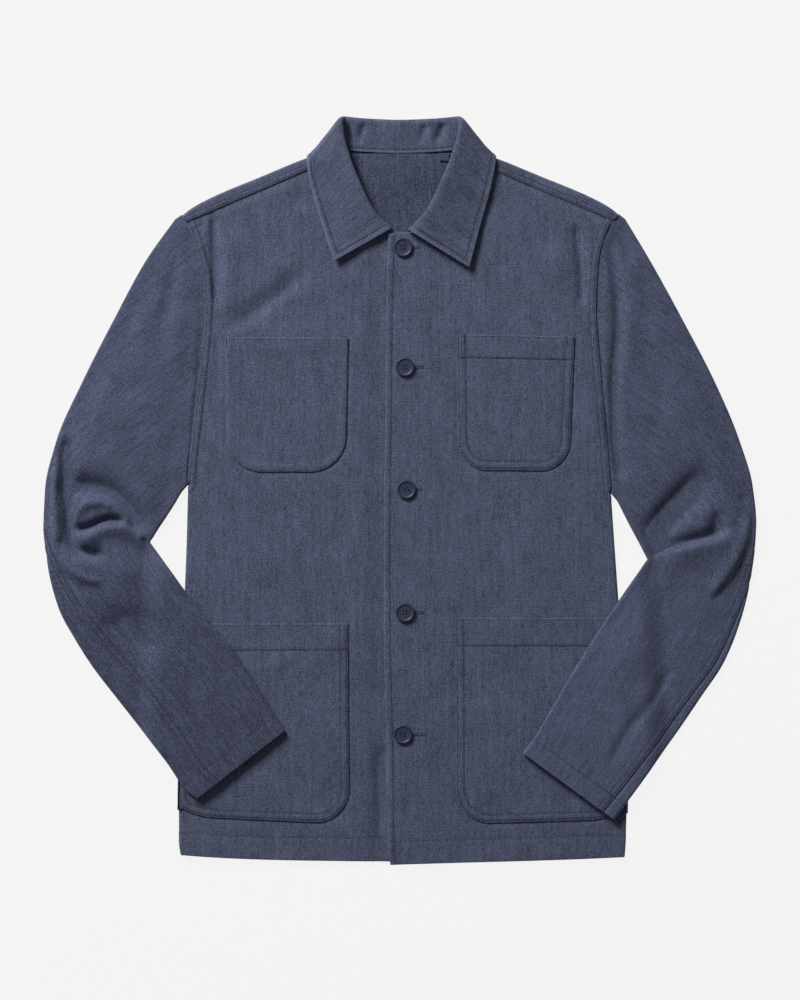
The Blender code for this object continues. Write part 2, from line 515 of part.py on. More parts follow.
def shoulder_line(side, share):
    """Outline and seam points at a share of the way along a shoulder, and the direction between them."""
    outline_in, outline_out, seam_in, seam_out = (np.array(p) for p in SHOULDERS[side])
    outline = outline_in + (outline_out - outline_in) * share
    seam = seam_in + (seam_out - seam_in) * share
    return outline, seam, (outline - seam) / np.linalg.norm(outline - seam)


def back(finish):
    """The back: one piece that turns up over both shoulders to their forward seams."""
    centre = np.array([(0.0, r[1]) for r in BACK_SECTIONS])
    neck = np.array([(r[2], r[3]) for r in BACK_SECTIONS])
    sides = {
        "right": np.array([(r[6], r[7]) for r in BACK_SECTIONS]),
        "left": np.array([(r[4], r[5]) for r in BACK_SECTIONS]),
    }
    underarm = [r[0] for r in BACK_SECTIONS].index("underarm")
    keys, at = section_places(np.stack((centre, neck), axis=1), BACK_ROW, underarm, ARMHOLE_ROW * 1.2)
    middle = smooth(keys, centre, at)
    beside = smooth(keys, neck, at)
    outer = {}
    for side, sign in (("right", -1), ("left", 1)):
        outer[side] = smooth(keys, sides[side], at)
        armhole = edge_x(side, outer[side][:, 1])
        above = step_up(at - keys[underarm], 0, ARMHOLE_EASE)
        cut = seam_x(side, outer[side][:, 1]) * (1 - above) + armhole * above
        outer[side][:, 0] = cut - sign * GAP / 2
    outer_shares = np.linspace(0, 1, BACK_OUTER + 1)
    inner_shares = np.linspace(0, 1, BACK_INNER + 1)[1:]
    points = []
    for i in range(len(at)):
        row = {}
        for side, sign in (("right", -1), ("left", 1)):
            neck_point = beside[i] * (sign, 1)
            if i == len(at) - 1:
                row[side] = []
                for share in outer_shares:
                    outline, _, outward = shoulder_line(side, share)
                    row[side].append(outline - outward * ROLL_OUT)
            else:
                row[side] = list(neck_point + np.outer(outer_shares, outer[side][i] - neck_point))
            to_middle = [row[side][0] + (middle[i] - row[side][0]) * share for share in inner_shares]
            row[side] = row[side][::-1] + to_middle
        across = row["right"] + row["left"][-2::-1]
        points += [(x, y, REST + float(neck_lift(x, y))) for x, y in across]
    wide = 2 * (BACK_OUTER + BACK_INNER) + 1
    faces = grid_faces(len(at), wide)
    last = (len(at) - 1) * wide
    for side in ("right", "left"):
        first = last if side == "right" else last + wide - 1
        step = 1 if side == "right" else -1
        below = [first + step * n for n in range(BACK_OUTER + 1)]
        shares = outer_shares[::-1]
        rises = [ROLL_STEPS - n for n in range(1, ROLL_STEPS + 1)] + [-1, -2]
        for rise in rises:
            row = []
            for share in shares:
                outline, seam, outward = shoulder_line(side, share)
                centre_point = outline - outward * ROLL_OUT
                lift = float(neck_lift(*centre_point))
                if rise >= 0:
                    point = half_turn(centre_point, outward, REST + lift, FRONT + lift, rise / ROLL_STEPS)
                else:
                    to_seam = (seam + (0, GAP / 2) - centre_point) * (-rise / 2)
                    x, y = centre_point + to_seam
                    point = (x, y, FRONT + float(neck_lift(x, y)))
                row.append(len(points))
                points.append(point)
            for n in range(BACK_OUTER):
                quad = (below[n], below[n + 1], row[n + 1], row[n])
                faces.append(quad if side == "right" else quad[::-1])
            below = row
    return sheet_object("back", points, faces, finish, flip=True)


def collar_row(neck, stand, fall, edge):
    """Points across the collar: up the stand, over the roll and down the fall."""
    up = stand - neck
    up[2] = 0
    down = edge - fall
    down[2] = 0
    reach = min(COLLAR_TURN, 0.6 * np.linalg.norm(up))
    up /= np.linalg.norm(up)
    down /= np.linalg.norm(down)
    top = stand - up * reach
    under = fall + down * reach
    pull = 4 / 3 * (reach - WALL / 2)
    row = [neck + (top - neck) * share for share in np.linspace(0, 1, COLLAR_STAND + 1)]
    for t in np.linspace(0, 1, COLLAR_ROLL + 1)[1:-1]:
        first = top + up * pull
        second = under - down * pull
        row.append(
            top * (1 - t) ** 3 + 3 * first * t * (1 - t) ** 2 + 3 * second * t * t * (1 - t) + under * t ** 3
        )
    row += [under + (edge - under) * share for share in np.linspace(0, 1, COLLAR_FALL + 1)]
    return row


def collar(finish):
    """One-piece collar: a stand inside the neck, rolled over into the fall, which lies under the back."""
    table = np.array([r[1:] for r in COLLAR_SECTIONS]).reshape(-1, 4, 3)
    keys = section_keys(table)
    at = [keys[0]]
    for low, high in zip(keys, keys[1:]):
        count = max(1, round((high - low) / COLLAR_ROW))
        at += list(np.linspace(low, high, count + 1)[1:])
    lofted = smooth(keys, table.reshape(-1, 12), at).reshape(-1, 4, 3)
    points = [point for section in lofted for point in collar_row(*section)]
    wide = COLLAR_STAND + COLLAR_ROLL + COLLAR_FALL + 1
    return sheet_object("collar", points, grid_faces(len(at), wide), finish)


def sleeve_sections(side):
    """A sleeve's cross-sections along its length: inner and outer edge, loft, elbow seam, and place."""
    table = SLEEVE_LEFT_SECTIONS if side == "left" else SLEEVE_RIGHT_SECTIONS
    values = np.array([r[1:] for r in table])
    rows = np.array(SLEEVE_ROWS, float)
    lofted = smooth(range(len(table)), values, rows)
    return [(row[0:2], row[2:4], row[4], row[5], place) for row, place in zip(lofted, rows)]


def forearm_rise(side, x, y):
    """How far a forearm is lifted where it climbs over the torso's side."""
    sign = 1 if side == "left" else -1
    outside = sign * (x - edge_x(side, y)[0])
    on_torso = step_up(-outside, -RAMP - RAMP_STOP, -RAMP_STOP)
    return FOREARM_RISE * float(on_torso * step_up(-y, 42, 84))


def armhole_bow(side, share):
    """How far the armhole's curve, and the sleeve's start along it, lie across from the straight line."""
    table = SLEEVE_LEFT_SECTIONS if side == "left" else SLEEVE_RIGHT_SECTIONS
    sections = FRONT_LEFT_SECTIONS if side == "left" else FRONT_RIGHT_SECTIONS
    underarm = {r[0]: r[4] for r in sections}["underarm"]
    tip = SHOULDERS[side][1][1]
    inner, outer = np.array(table[0][1:3]), np.array(table[0][3:5])
    x, y = inner + (outer - inner) * share
    sign = 1 if side == "left" else -1
    gap = ARMHOLE_GAP + TIP_GAP * float(step_up(y, tip - 22, tip - 4))
    return edge_x(side, np.clip(y, underarm, tip))[0] + sign * gap - x


def tube_point(side, section, place_round):
    """Point round a flattened sleeve: place_round runs from the inner edge over the top and back below."""
    inner, outer, loft, _, place = section
    width = np.linalg.norm(outer - inner)
    across = (outer - inner) / width
    straight = width - 2 * ROLL_OUT
    rim = math.pi * ROLL
    half_rim = rim / 2
    if -half_rim <= place_round <= half_rim:
        angle = place_round / ROLL
        reach = ROLL_OUT - ROLL * math.cos(angle)
        share = (1 + math.sin(angle)) / 2
    elif half_rim < place_round < half_rim + straight:
        reach = ROLL_OUT + place_round - half_rim
        share = 1.0
    elif half_rim + straight <= place_round <= half_rim + straight + rim:
        angle = (place_round - half_rim - straight) / ROLL
        reach = width - ROLL_OUT + ROLL * math.sin(angle)
        share = (1 + math.cos(angle)) / 2
    elif place_round < -half_rim:
        reach = ROLL_OUT - (place_round + half_rim)
        share = 0.0
    else:
        reach = width - ROLL_OUT - (place_round - half_rim - straight - rim)
        share = 0.0
    x, y = inner + across * reach
    x += armhole_bow(side, reach / width) * (1 - float(step_up(place, 0, ARMHOLE_FADE)))
    low = REST + forearm_rise(side, x, y)
    from_edge = min(reach, width - reach) - ROLL_OUT
    swell = (loft - 2 * ROLL) * float(step_up(from_edge, 0, SLEEVE_SHOULDER))
    height = 2 * ROLL * share
    if share == 1.0:
        folds = LEFT_SLEEVE_FOLDS if side == "left" else RIGHT_SLEEVE_FOLDS
        calm = float(step_up(place, 0, 0.7) * step_up(from_edge, 0, 9))
        bend = float(folds_at(x, y, folds)) * calm
        height += max(swell + bend, -FOLD_FLOOR)
    return (x, y, low + height)


def turning_places(section):
    """Places round the sleeve where its straights and its rims meet, from the underside round to it."""
    inner, outer, _, _, _ = section
    straight = np.linalg.norm(outer - inner) - 2 * ROLL_OUT
    rim = math.pi * ROLL
    steps = (-rim / 2 - straight, straight, rim, straight, rim, straight)
    return np.cumsum(steps)


def seam_places(section):
    """Places round the sleeve of the inner seam, the elbow seam, and the inner seam once round."""
    inner, outer, _, seam_in, _ = section
    straight = np.linalg.norm(outer - inner) - 2 * ROLL_OUT
    rim = math.pi * ROLL
    inner_seam = -rim / 2 - (INNER_SEAM_IN - ROLL_OUT)
    outer_top = rim / 2 + straight
    if seam_in >= ROLL_OUT:
        elbow_seam = outer_top - (seam_in - ROLL_OUT)
    elif seam_in <= -ROLL_OUT:
        elbow_seam = outer_top + rim - seam_in - ROLL_OUT
    else:
        elbow_seam = outer_top + rim * (1 - seam_in / ROLL_OUT) / 2
    return inner_seam, elbow_seam, inner_seam + 2 * (rim + straight)


def seam_gap(section):
    """Half the gap at the elbow seam, wider where the seam turns round the sleeve's edge."""
    return GAP / 2 + EDGE_SEAM_EASE * math.exp(-((section[3] / EDGE_SEAM_RUN) ** 2))


def sleeve_piece(side, name, columns, finish):
    """The top or the under sleeve, between the inner seam and the elbow seam."""
    sections = sleeve_sections(side)
    points = []
    for section in sections:
        inner_seam, elbow_seam, once_round = seam_places(section)
        if name == "top":
            first, last = inner_seam + GAP / 2, elbow_seam - seam_gap(section)
        else:
            first, last = elbow_seam + seam_gap(section), once_round - GAP / 2
        turnings = turning_places(section)
        costs = np.linspace(*np.interp((first, last), turnings, SLEEVE_COSTS), columns + 1)
        places = np.interp(costs, SLEEVE_COSTS, turnings)
        before, after = 2 * places[0] - places[1], 2 * places[-1] - places[-2]
        points += [tube_point(side, section, place) for place in (before, *places, after)]
    wide = columns + 3
    shape = grid_faces(len(sections), wide)
    faces = grid_faces(len(sections), wide, lambda i, j: 0 < j < wide - 2)
    return sheet_object(f"{name}_sleeve_{side}", points, faces, finish, flip=side == "right", shape=shape)


def pocket_sheet(side, outline, round_sides, columns, rows):
    """Sheet of a patch pocket on a front, with its lower corners rounded."""
    top_left, top_right, foot_left, foot_right, radius = outline
    upper = side == "left"
    height = top_left[1] - foot_left[1]
    bend = np.linspace(0, 1, rows // 2 + 1)[1:]
    falls = list(np.linspace(0, height - radius, rows - rows // 2 + 1))
    falls += [height - radius + radius * math.sin(math.pi / 2 * b) for b in bend]
    points = []
    for fall in falls:
        share = fall / height
        past = max(0.0, fall - (height - radius))
        inset = radius - math.sqrt(max(0.0, radius ** 2 - past ** 2))
        inset = min(inset, radius * 0.9)
        left = top_left[0] + (foot_left[0] - top_left[0]) * share + inset * round_sides[0]
        right = top_right[0] + (foot_right[0] - top_right[0]) * share - inset * round_sides[1]
        for across in np.linspace(0, 1, columns + 1):
            x = left + (right - left) * across
            top = top_left[1] + (top_right[1] - top_left[1]) * across
            foot = foot_left[1] + (foot_right[1] - foot_left[1]) * across
            y = top + (foot - top) * share
            points.append((x, y, float(front_height(x, y, upper)) + POCKET_HEIGHT))
    return points, grid_faces(len(falls), columns + 1)


def pocket(name, side, outline, round_sides, finish):
    """A patch pocket."""
    points, faces = pocket_sheet(side, outline, round_sides, POCKET_COLUMNS, POCKET_ROWS)
    return sheet_object(f"{name}_{side}", points, faces, finish, wall=POCKET_WALL, flip=True)


def button_mesh(finish):
    """A four-hole button with a raised rim, standing on z = 0."""
    mesh = bpy.data.meshes.new("button")
    shape = bmesh.new()
    rings = [
        [
            shape.verts.new((MM * radius * math.cos(a), MM * radius * math.sin(a), MM * height))
            for a in np.linspace(0, math.tau, BUTTON_SEGMENTS, endpoint=False)
        ]
        for radius, height in BUTTON_PROFILE
    ]
    for low, high in zip(rings, rings[1:]):
        for n in range(BUTTON_SEGMENTS):
            m = (n + 1) % BUTTON_SEGMENTS
            shape.faces.new((low[n], low[m], high[m], high[n]))
    shape.faces.new(rings[0][::-1])
    shape.faces.new(rings[-1])
    bmesh.ops.recalc_face_normals(shape, faces=shape.faces)
    shape.to_mesh(mesh)
    shape.free()
    body = bpy.data.objects.new("button_body", mesh)
    bpy.context.scene.collection.objects.link(body)
    cutters = []
    for sign_x in (-1, 1):
        for sign_y in (-1, 1):
            place = (MM * BUTTON_PITCH * sign_x, MM * BUTTON_PITCH * sign_y, MM * BUTTON_RISE / 2)
            bpy.ops.mesh.primitive_cylinder_add(
                vertices=HOLE_SEGMENTS, radius=MM * BUTTON_HOLE, depth=MM * BUTTON_RISE * 3, location=place
            )
            cutter = bpy.context.object
            cutters.append(cutter)
            cut = body.modifiers.new("hole", "BOOLEAN")
            cut.operation = "DIFFERENCE"
            cut.object = cutter
    bpy.context.view_layer.update()
    evaluated = body.evaluated_get(bpy.context.evaluated_depsgraph_get())
    drilled = bpy.data.meshes.new_from_object(evaluated)
    drilled.materials.clear()
    drilled.materials.append(finish)
    for guide in [body, *cutters]:
        bpy.data.objects.remove(guide)
    drilled.shade_smooth()
    drilled.set_sharp_from_angle(angle=math.radians(40))
    return drilled


def buttons(finish):
    """Five buttons down the upper front."""
    mesh = button_mesh(finish)
    for name, x, y, turn in BUTTONS:
        button = bpy.data.objects.new(name, mesh)
        seat = float(front_height(x, y, True)) + WALL / 2 + GAP
        button.location = (MM * x, MM * y, MM * seat)
        button.rotation_euler = (0, 0, math.radians(turn))
        bpy.context.scene.collection.objects.link(button)


def label_tab(finish):
    """The bare tab at the neck, on the back's inside, below the neck seam."""
    middle, top, width, length = TAB
    low = REST + NECK_LIFT + WALL / 2 + GAP
    corners = [
        (middle + sx * width / 2, top - (1 - sy) * length / 2, low + sz * TAB_WALL)
        for sz in (0, 1)
        for sx, sy in ((-1, -1), (1, -1), (1, 1), (-1, 1))
    ]
    faces = [(3, 2, 1, 0), (4, 5, 6, 7)]
    faces += [(n, (n + 1) % 4, (n + 1) % 4 + 4, n + 4) for n in range(4)]
    return add_object("label_tab", corners, faces, finish)


def main():
    """Builds every piece."""
    for old in list(bpy.data.objects):
        bpy.data.objects.remove(old)
    cloth = material("cloth", CLOTH, 0.92)
    shadow_cloth = material("cloth_pocket", CLOTH_DARK, 0.92)
    back(cloth)
    for side in ("left", "right"):
        front(side, cloth)
        sleeve_piece(side, "top", TOP_COLUMNS, cloth)
        sleeve_piece(side, "under", UNDER_COLUMNS, cloth)
        pocket("chest_pocket", side, CHEST_POCKETS[side], (1, 1), shadow_cloth)
        inner_only = (0, 1) if side == "right" else (1, 0)
        pocket("lower_pocket", side, LOWER_POCKETS[side], inner_only, shadow_cloth)
    collar(cloth)
    buttons(material("button", BUTTON_COLOUR, 0.35))
    label_tab(material("tab", TAB_COLOUR, 0.8))


if __name__ == "__main__":
    main()
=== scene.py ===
"""Dresses the work overshirt that lies flat on a pale table: cloth, seams, stitching and buttons.

The frame's world is used throughout: +X to the wearer's left, +Y from hem to collar, +Z up. Tables and
lengths are in millimetres until a mesh is made. Each cloth piece is a dense sheet through the middle of
its cloth, in the place of its solid, with its creases, turnings and puckers, and then given its wall.
"""

from __future__ import annotations

import logging
import math
from dataclasses import dataclass, field
from enum import Enum
from functools import partial
from typing import Optional, Sequence

import bmesh
import bpy
import numpy as np
from mathutils import Matrix, Vector
from mathutils.bvhtree import BVHTree

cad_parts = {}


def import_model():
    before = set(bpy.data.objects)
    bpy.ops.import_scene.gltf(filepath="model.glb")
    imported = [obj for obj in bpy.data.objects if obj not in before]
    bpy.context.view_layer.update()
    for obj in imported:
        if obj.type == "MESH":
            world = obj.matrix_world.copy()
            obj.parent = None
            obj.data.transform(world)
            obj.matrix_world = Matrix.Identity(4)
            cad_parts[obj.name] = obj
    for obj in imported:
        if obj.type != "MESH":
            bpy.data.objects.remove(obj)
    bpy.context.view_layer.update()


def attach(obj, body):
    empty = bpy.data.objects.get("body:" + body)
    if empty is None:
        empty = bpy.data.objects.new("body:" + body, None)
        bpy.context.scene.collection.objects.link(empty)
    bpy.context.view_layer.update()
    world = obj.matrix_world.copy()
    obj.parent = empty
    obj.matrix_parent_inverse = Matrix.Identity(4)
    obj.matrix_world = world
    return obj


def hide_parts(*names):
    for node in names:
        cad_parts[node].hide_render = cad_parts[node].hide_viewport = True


LOG = logging.getLogger("overshirt")
Array = np.ndarray

MM = 0.001
CLOTH_WALL = 1.1  # single cloth, as drawn
TURNING = 0.55  # a hem, a facing or a felled seam adds this to the wall
SOLID_WALL = 1.6  # the solids' wall, whose middle the sheets keep
REST = SOLID_WALL / 2
GAP = 0.08  # between pieces that meet edge to edge
ROLL = 2.3  # radius of the middle of the cloth where it turns round a side
ROLL_OUT = ROLL + SOLID_WALL / 2
FRONT = REST + 2 * ROLL
NECK_LIFT = 2.0  # the collar's fall lifts the panels by this
PLACKET_RISE = 0.5  # the upper front's button edge lies higher
PLACKET_DIP = 2.0  # and the under front lies lower beneath it
SIDE_STITCH_IN = 34.0  # the side seam runs this far in, underneath
ARMHOLE_ROWS = (1.4, 7.2)  # rows of stitches on a front, in from the sleeve
SHOULDER_ROWS = (1.4, 5.7)  # on the back, in from the forward shoulder seam
SIDE_ROWS = (1.6, 7.0)  # on a front's underside, in from the side seam
BACK_ARMHOLE_ROWS = (1.6, 7.2)
ELBOW_ROWS = (1.7, 7.6)
PLACKET_ROW = 6.2
MOUTH_ROW = 1.6  # close below a pocket's mouth
TACKS = (1.8, 7.8)  # bar tacks at a pocket's mouth, in from its side
FOREARM_RISE = 8.5  # a forearm lies this much higher on the body
SAG_PEAK = 6.75  # makes s * s * (1 - s) reach 1
HEM_DEPTH = 23.6
CUFF_DEPTH = 18.7
EDGE_ROUND = 0.45  # a rim's wall narrows over this
FOLD_FROM, FOLD_TO = 0.7, 1.1  # the wall changes over this, on both sides of a turning's end
ON_RIM, BESIDE_RIM = 0.38, 0.82  # to these shares of itself
STITCH_PITCH = 3.1
STITCH_LENGTH = 2.7
STITCH_PULL = 0.38  # a row of stitches sinks this far
THREAD_SEAT = 0.04  # middle of the thread above the cloth
POCKET_LIFT = 1.25  # middle of a pocket above the middle of its front, as drawn
POCKET_CLOTH = 1.0
POCKET_SEAT = 0.6  # a pocket's sewn edge is pulled down this far
FRONT_SEAT = 0.78  # and the front under it this far
SHOULDER_TUCK = 1.3  # the front goes this far under the shoulder's strip, and lies lower
SHOULDER_DROP = 1.15
ARMHOLE_TUCK = 1.1  # the sleeve is this much slimmer where it goes into the armhole
ARMHOLE_REACH = 2.4  # how far it goes in
CLOSE_ROWS = (-1.9, -0.9, -0.3, 0.3, 0.9, 1.9)  # of points, on both sides of a mark
FRONT_SEED, SLEEVE_SEED, BACK_SEED, COLLAR_SEED = 40, 60, 71, 81  # of the cloth's unevenness
BUTTON_SEAT = 0.85  # a button's foot above the middle of its front


class Side(Enum):
    """The wearer's left or right; the value is its direction along X."""

    LEFT = 1
    RIGHT = -1

    @property
    def word(self) -> str:
        """The side's name in node names."""
        return self.name.lower()


# The upper front, on the wearer's left: its button edge and neckline, and its outer edge.
FRONT_LEFT_SECTIONS = (
    # section | inner x | inner y | outer x | outer y | sag
    ("hem", -9.9, -388.6, 233.4, -380.7, -0.6),
    ("hem turn", -12.6, -372.8, 234.6, -364.4, -0.5),
    ("pocket foot", -13.4, -321.9, 235.9, -316.7, 0),
    ("cuff level", -13.6, -276, 235, -270, 0),
    ("pocket mouth", -16.4, -160.7, 229.8, -155.5, 0),
    ("waist", -16.8, -56.7, 223.1, -56.7, 0),
    ("underarm", -16.3, -3.6, 219.4, -3.6, 0),
    ("chest", -15.6, 60, 214.5, 58, 0),
    ("pocket top", -14.7, 146, 206.4, 144, 0),
    ("cross chest", -14.1, 190, 203.6, 186, 0),
    ("high chest", -13.4, 228, 204.8, 224, 0),
    ("placket top", -11.3, 266.8, 208.2, 250, 0),
    ("front neck", 8.8, 267.5, 210.5, 258.5, 0),
    ("neck curve low", 41.1, 277.2, 213.4, 267, 0),
    ("neck curve", 68.1, 296.9, 217, 274.6, 0),
    ("neck side", 81.6, 317.7, 219.6, 278.4, 0),
    ("shoulder seam", 82.7, 338.5, 221.5, 280.3, 0),
)

# The under front, on the wearer's right. Its inner edge lies under the upper front.
FRONT_RIGHT_SECTIONS = (
    ("hem", 25.5, -386.2, -227.9, -378.7, -2),
    ("hem turn", 25.5, -372.8, -229.8, -364, -1.5),
    ("pocket foot", 25.5, -321.9, -230, -321.9, 0),
    ("cuff level", 25.5, -270, -229.2, -270, 0),
    ("pocket mouth", 25.5, -160.7, -226.2, -160.7, 0),
    ("waist", 25.5, -56.7, -222, -56.7, 0),
    ("underarm", 25.5, 5.7, -220.2, 5.7, 0),
    ("chest", 25.5, 60, -215.2, 60, 0),
    ("pocket top", 25.5, 146, -205.6, 146, 0),
    ("cross chest", 25.5, 192, -202.3, 190, 0),
    ("high chest", 25.5, 228, -204.6, 224, 0),
    ("button edge top", 25.5, 267, -210, 248, 0),
    ("front neck", -8.8, 269.4, -213.2, 258, 0),
    ("neck curve low", -42.1, 277, -216.6, 267.6, 0),
    ("neck curve", -67.1, 295.5, -219.2, 274.4, 0),
    ("neck side", -80.6, 317.7, -220.6, 277.6, 0),
    ("shoulder seam", -81.8, 338.5, -221.3, 279, 0),
)

FRONT_SECTIONS = {Side.LEFT: FRONT_LEFT_SECTIONS, Side.RIGHT: FRONT_RIGHT_SECTIONS}

# The back: centre line, the line down from the neck's side, and the heights of its two outer edges.
BACK_SECTIONS = (
    # section | centre y | neck x | neck y | left y | right y
    ("hem", -384, 66, -383, -379.8, -378),
    ("pocket foot", -320, 66, -320, -316.7, -320),
    ("pocket mouth", -158, 66, -158, -156, -158),
    ("waist", -56.7, 66, -56.7, -56.7, -56.7),
    ("underarm", -3.6, 66, -3.6, -3.6, 5.7),
    ("chest", 60, 66, 60, 58, 60),
    ("pocket top", 146, 66.5, 146, 144, 146),
    ("cross back", 192, 67, 190, 186, 190),
    ("high back", 228, 68, 226, 224, 224),
    ("armhole top", 268, 70, 262, 250, 248),
    ("collar's fall", 303, 73, 303, 267, 265),
    ("over the fall", 331, 75.5, 331, 276, 274.6),
    ("top", 350.4, 77.6, 350.6, 284.4, 283),
)

# The shoulder's outline and the forward shoulder seam: from the neck's side to the sleeve.
SHOULDERS = {
    # side: outline at neck | outline at sleeve | seam at neck | seam at sleeve
    Side.LEFT: ((78.3, 352.6), (228.4, 286.6), (82.7, 338.5), (221.5, 280.3)),
    Side.RIGHT: ((-76, 352.6), (-227.4, 285.6), (-81.8, 338.5), (-221.3, 279)),
}

# How far the shoulder's outline bows out from the straight line.
SHOULDER_BOW = ((0, -0.6), (0.2, 2.5), (0.45, 3.8), (0.73, 5.2), (0.85, 4.6), (0.94, 2.6), (1, -0.8))

# The collar: neck seam, stand side of the roll, fall side of the roll, and fall edge.
COLLAR_SECTIONS = (
    # section | neck x, y, z | stand x, y, z | fall x, y, z | edge x, y, z
    ("right end", -8.6, 270.2, 3.9, -7.8, 273.6, 4.9, -8.4, 272.2, 7.5, -68.2, 237.6, 7.7),
    ("right front", -40.6, 279.2, 5.4, -26.4, 288.8, 6.6, -25, 290, 10, -74.9, 257.4, 7.9),
    ("right break", -65.2, 297.2, 5.6, -42.6, 320.6, 7.2, -41.1, 321.9, 11, -81.6, 279.2, 8.1),
    ("right side", -79.9, 317.9, 6.5, -52.4, 344.6, 8, -50.6, 345.8, 11.4, -88.4, 302.1, 8.6),
    ("right neck", -81, 337.8, 7.4, -58, 368.4, 8.4, -58, 369.6, 11.8, -93.8, 322.6, 9.4),
    ("right over", -76.4, 349.4, 7.4, -58.4, 383, 8.2, -60.8, 383.6, 11.4, -95.6, 337.4, 9.7),
    ("right turn", -75.6, 351.2, 6.7, -57.6, 387, 7.2, -61.4, 387.4, 9.2, -95.4, 343.4, 8.4),
    ("right corner", -75.2, 351.6, 5.1, -56.8, 388.2, 5.9, -61.2, 388.4, 5.6, -95, 345.2, 5.2),
    ("right hook", -74.6, 351.4, 3.5, -55.2, 388.4, 5, -59.2, 388.6, 2.6, -93.8, 345, 1.6),
    ("right under", -70.6, 351.2, 2.8, -54, 388.4, 5, -57, 388.6, 1, -90.2, 340.6, 0.8),
    ("right blade", -52.5, 351, 2.8, -44, 387.4, 5.3, -46, 387.4, 0.8, -70, 338.5, 0.8),
    ("right back", -28, 350.9, 2.8, -24, 386, 5.6, -25, 386, 0.8, -34, 335.9, 0.8),
    ("centre back", -0.5, 350.9, 2.8, -0.5, 385.2, 5.6, -0.5, 385.2, 0.8, -0.5, 335.4, 0.8),
    ("left back", 30, 350.9, 2.8, 25, 386, 5.6, 26, 386, 0.8, 36, 335.9, 0.8),
    ("left blade", 55, 351, 2.8, 46, 387.4, 5.3, 48, 387.4, 0.8, 72, 338.5, 0.8),
    ("left under", 73, 351.2, 2.8, 56, 388.4, 5, 59, 388.6, 1, 92.2, 341, 0.8),
    ("left hook", 77, 351.4, 3.5, 57.2, 388.4, 5, 61.2, 388.6, 2.6, 96.8, 345.6, 1.6),
    ("left corner", 77.6, 351.6, 5.1, 58.8, 388.2, 5.9, 63.2, 388.4, 5.6, 98, 345.8, 5.2),
    ("left turn", 78, 351.2, 6.7, 59.6, 387, 7.2, 63.4, 387.4, 9.2, 98.4, 344, 8.4),
    ("left over", 78.5, 349.4, 7.4, 60.4, 383, 8.2, 62.8, 383.6, 11.4, 98.4, 338, 9.7),
    ("left neck", 81.9, 337.8, 7.4, 59.4, 368.4, 8.4, 59.4, 369.6, 11.8, 96, 323.4, 9.4),
    ("left side", 80.9, 317.9, 6.5, 52.8, 344, 8, 51.4, 345.2, 11.4, 91.6, 304.6, 8.6),
    ("left break", 66.3, 298.4, 5.8, 42.4, 319, 7.4, 41, 320.4, 11, 85.3, 282.4, 8.2),
    ("left front", 40, 279.2, 6, 27.4, 289.4, 7.2, 26.2, 290.8, 10.4, 78.5, 257.4, 8.2),
    ("left end", 9.2, 268.3, 6, 7.6, 271.4, 7, 8.6, 269.8, 9.6, 71.6, 231, 8.2),
)

# Sleeves, from the armhole to the cuff: the inner edge, the outer edge, how thick the two layers lie, and
# how far the elbow seam shows in from the outer edge (below 0: how far it lies round underneath).
SLEEVE_RIGHT_SECTIONS = (
    # section | inner x | inner y | outer x | outer y | loft | seam in
    ("armhole", -219, 5.6, -228.6, 288.4, 4.6, -20),
    ("cap", -226, -2.2, -263.4, 239.7, 6, -20),
    ("upper arm", -233.2, -13.6, -297.4, 177.3, 7.4, -20),
    ("mid arm", -241.6, -26.3, -329.2, 114.9, 8.4, -20),
    ("low arm", -249.9, -38.9, -357, 52.5, 9.2, -18),
    ("elbow top", -256.2, -48.9, -369, 2, 9.6, -12),
    ("elbow", -259.1, -53.6, -370.5, -36, 10, -5),
    ("elbow turn", -257.2, -56.7, -366.4, -77.5, 10, 4),
    ("elbow foot", -250.1, -66, -355.4, -121.2, 8.8, 14),
    ("forearm top", -237.6, -82.7, -337.4, -155.5, 7.6, 20),
    ("forearm", -224.1, -101.4, -317.7, -186, 6.6, 24),
    ("forearm middle", -203.3, -127.4, -293.6, -217, 6, 27),
    ("over the pocket", -179.9, -155.5, -268.4, -249, 5.6, 26),
    ("wrist", -156.5, -189.8, -243.2, -280.4, 5.3, 24),
    ("cuff seam", -134.8, -224.1, -224.1, -307.6, 5.1, 23),
    ("cuff", -119.1, -249.1, -210.6, -319.8, 5.1, 23),
)

SLEEVE_LEFT_SECTIONS = (
    ("armhole", 218.2, -3.6, 229.6, 289, 4.6, -20),
    ("cap", 225, -11.6, 261.6, 235.6, 6, -20),
    ("upper arm", 231.2, -23, 294.8, 175.2, 7.4, -20),
    ("mid arm", 238.4, -36.6, 326.2, 114.9, 8.4, -20),
    ("low arm", 245.6, -50.2, 351.6, 55.6, 9.2, -18),
    ("elbow top", 252.6, -64, 366.4, 6, 9.6, -14),
    ("elbow", 256.3, -71.8, 370.4, -33, 10, -9),
    ("elbow turn", 254, -74.8, 368.2, -64, 10, -4),
    ("elbow foot", 246, -85.8, 362.4, -103.5, 8.8, 3),
    ("forearm top", 233.5, -103.5, 352.6, -139.9, 7.6, 7),
    ("forearm", 215.8, -129.5, 336.4, -179.4, 6.6, 9),
    ("forearm middle", 198.5, -155.5, 313.6, -213.7, 6, 10.5),
    ("over the pocket", 177.3, -189.8, 289.6, -249.1, 5.6, 12),
    ("wrist", 158.6, -222, 264.7, -283.4, 5.3, 13),
    ("cuff seam", 140, -254, 240.6, -316.4, 5.1, 14),
    ("cuff", 126.9, -272, 221.7, -341.2, 5.1, 15),
)
SLEEVE_SECTIONS = {Side.LEFT: SLEEVE_LEFT_SECTIONS, Side.RIGHT: SLEEVE_RIGHT_SECTIONS}
FOREARM_LIGHT_AND_SHADE = {Side.RIGHT: -0.45, Side.LEFT: 0.35}  # painted shade on the wearer's right forearm, painted light on the left one
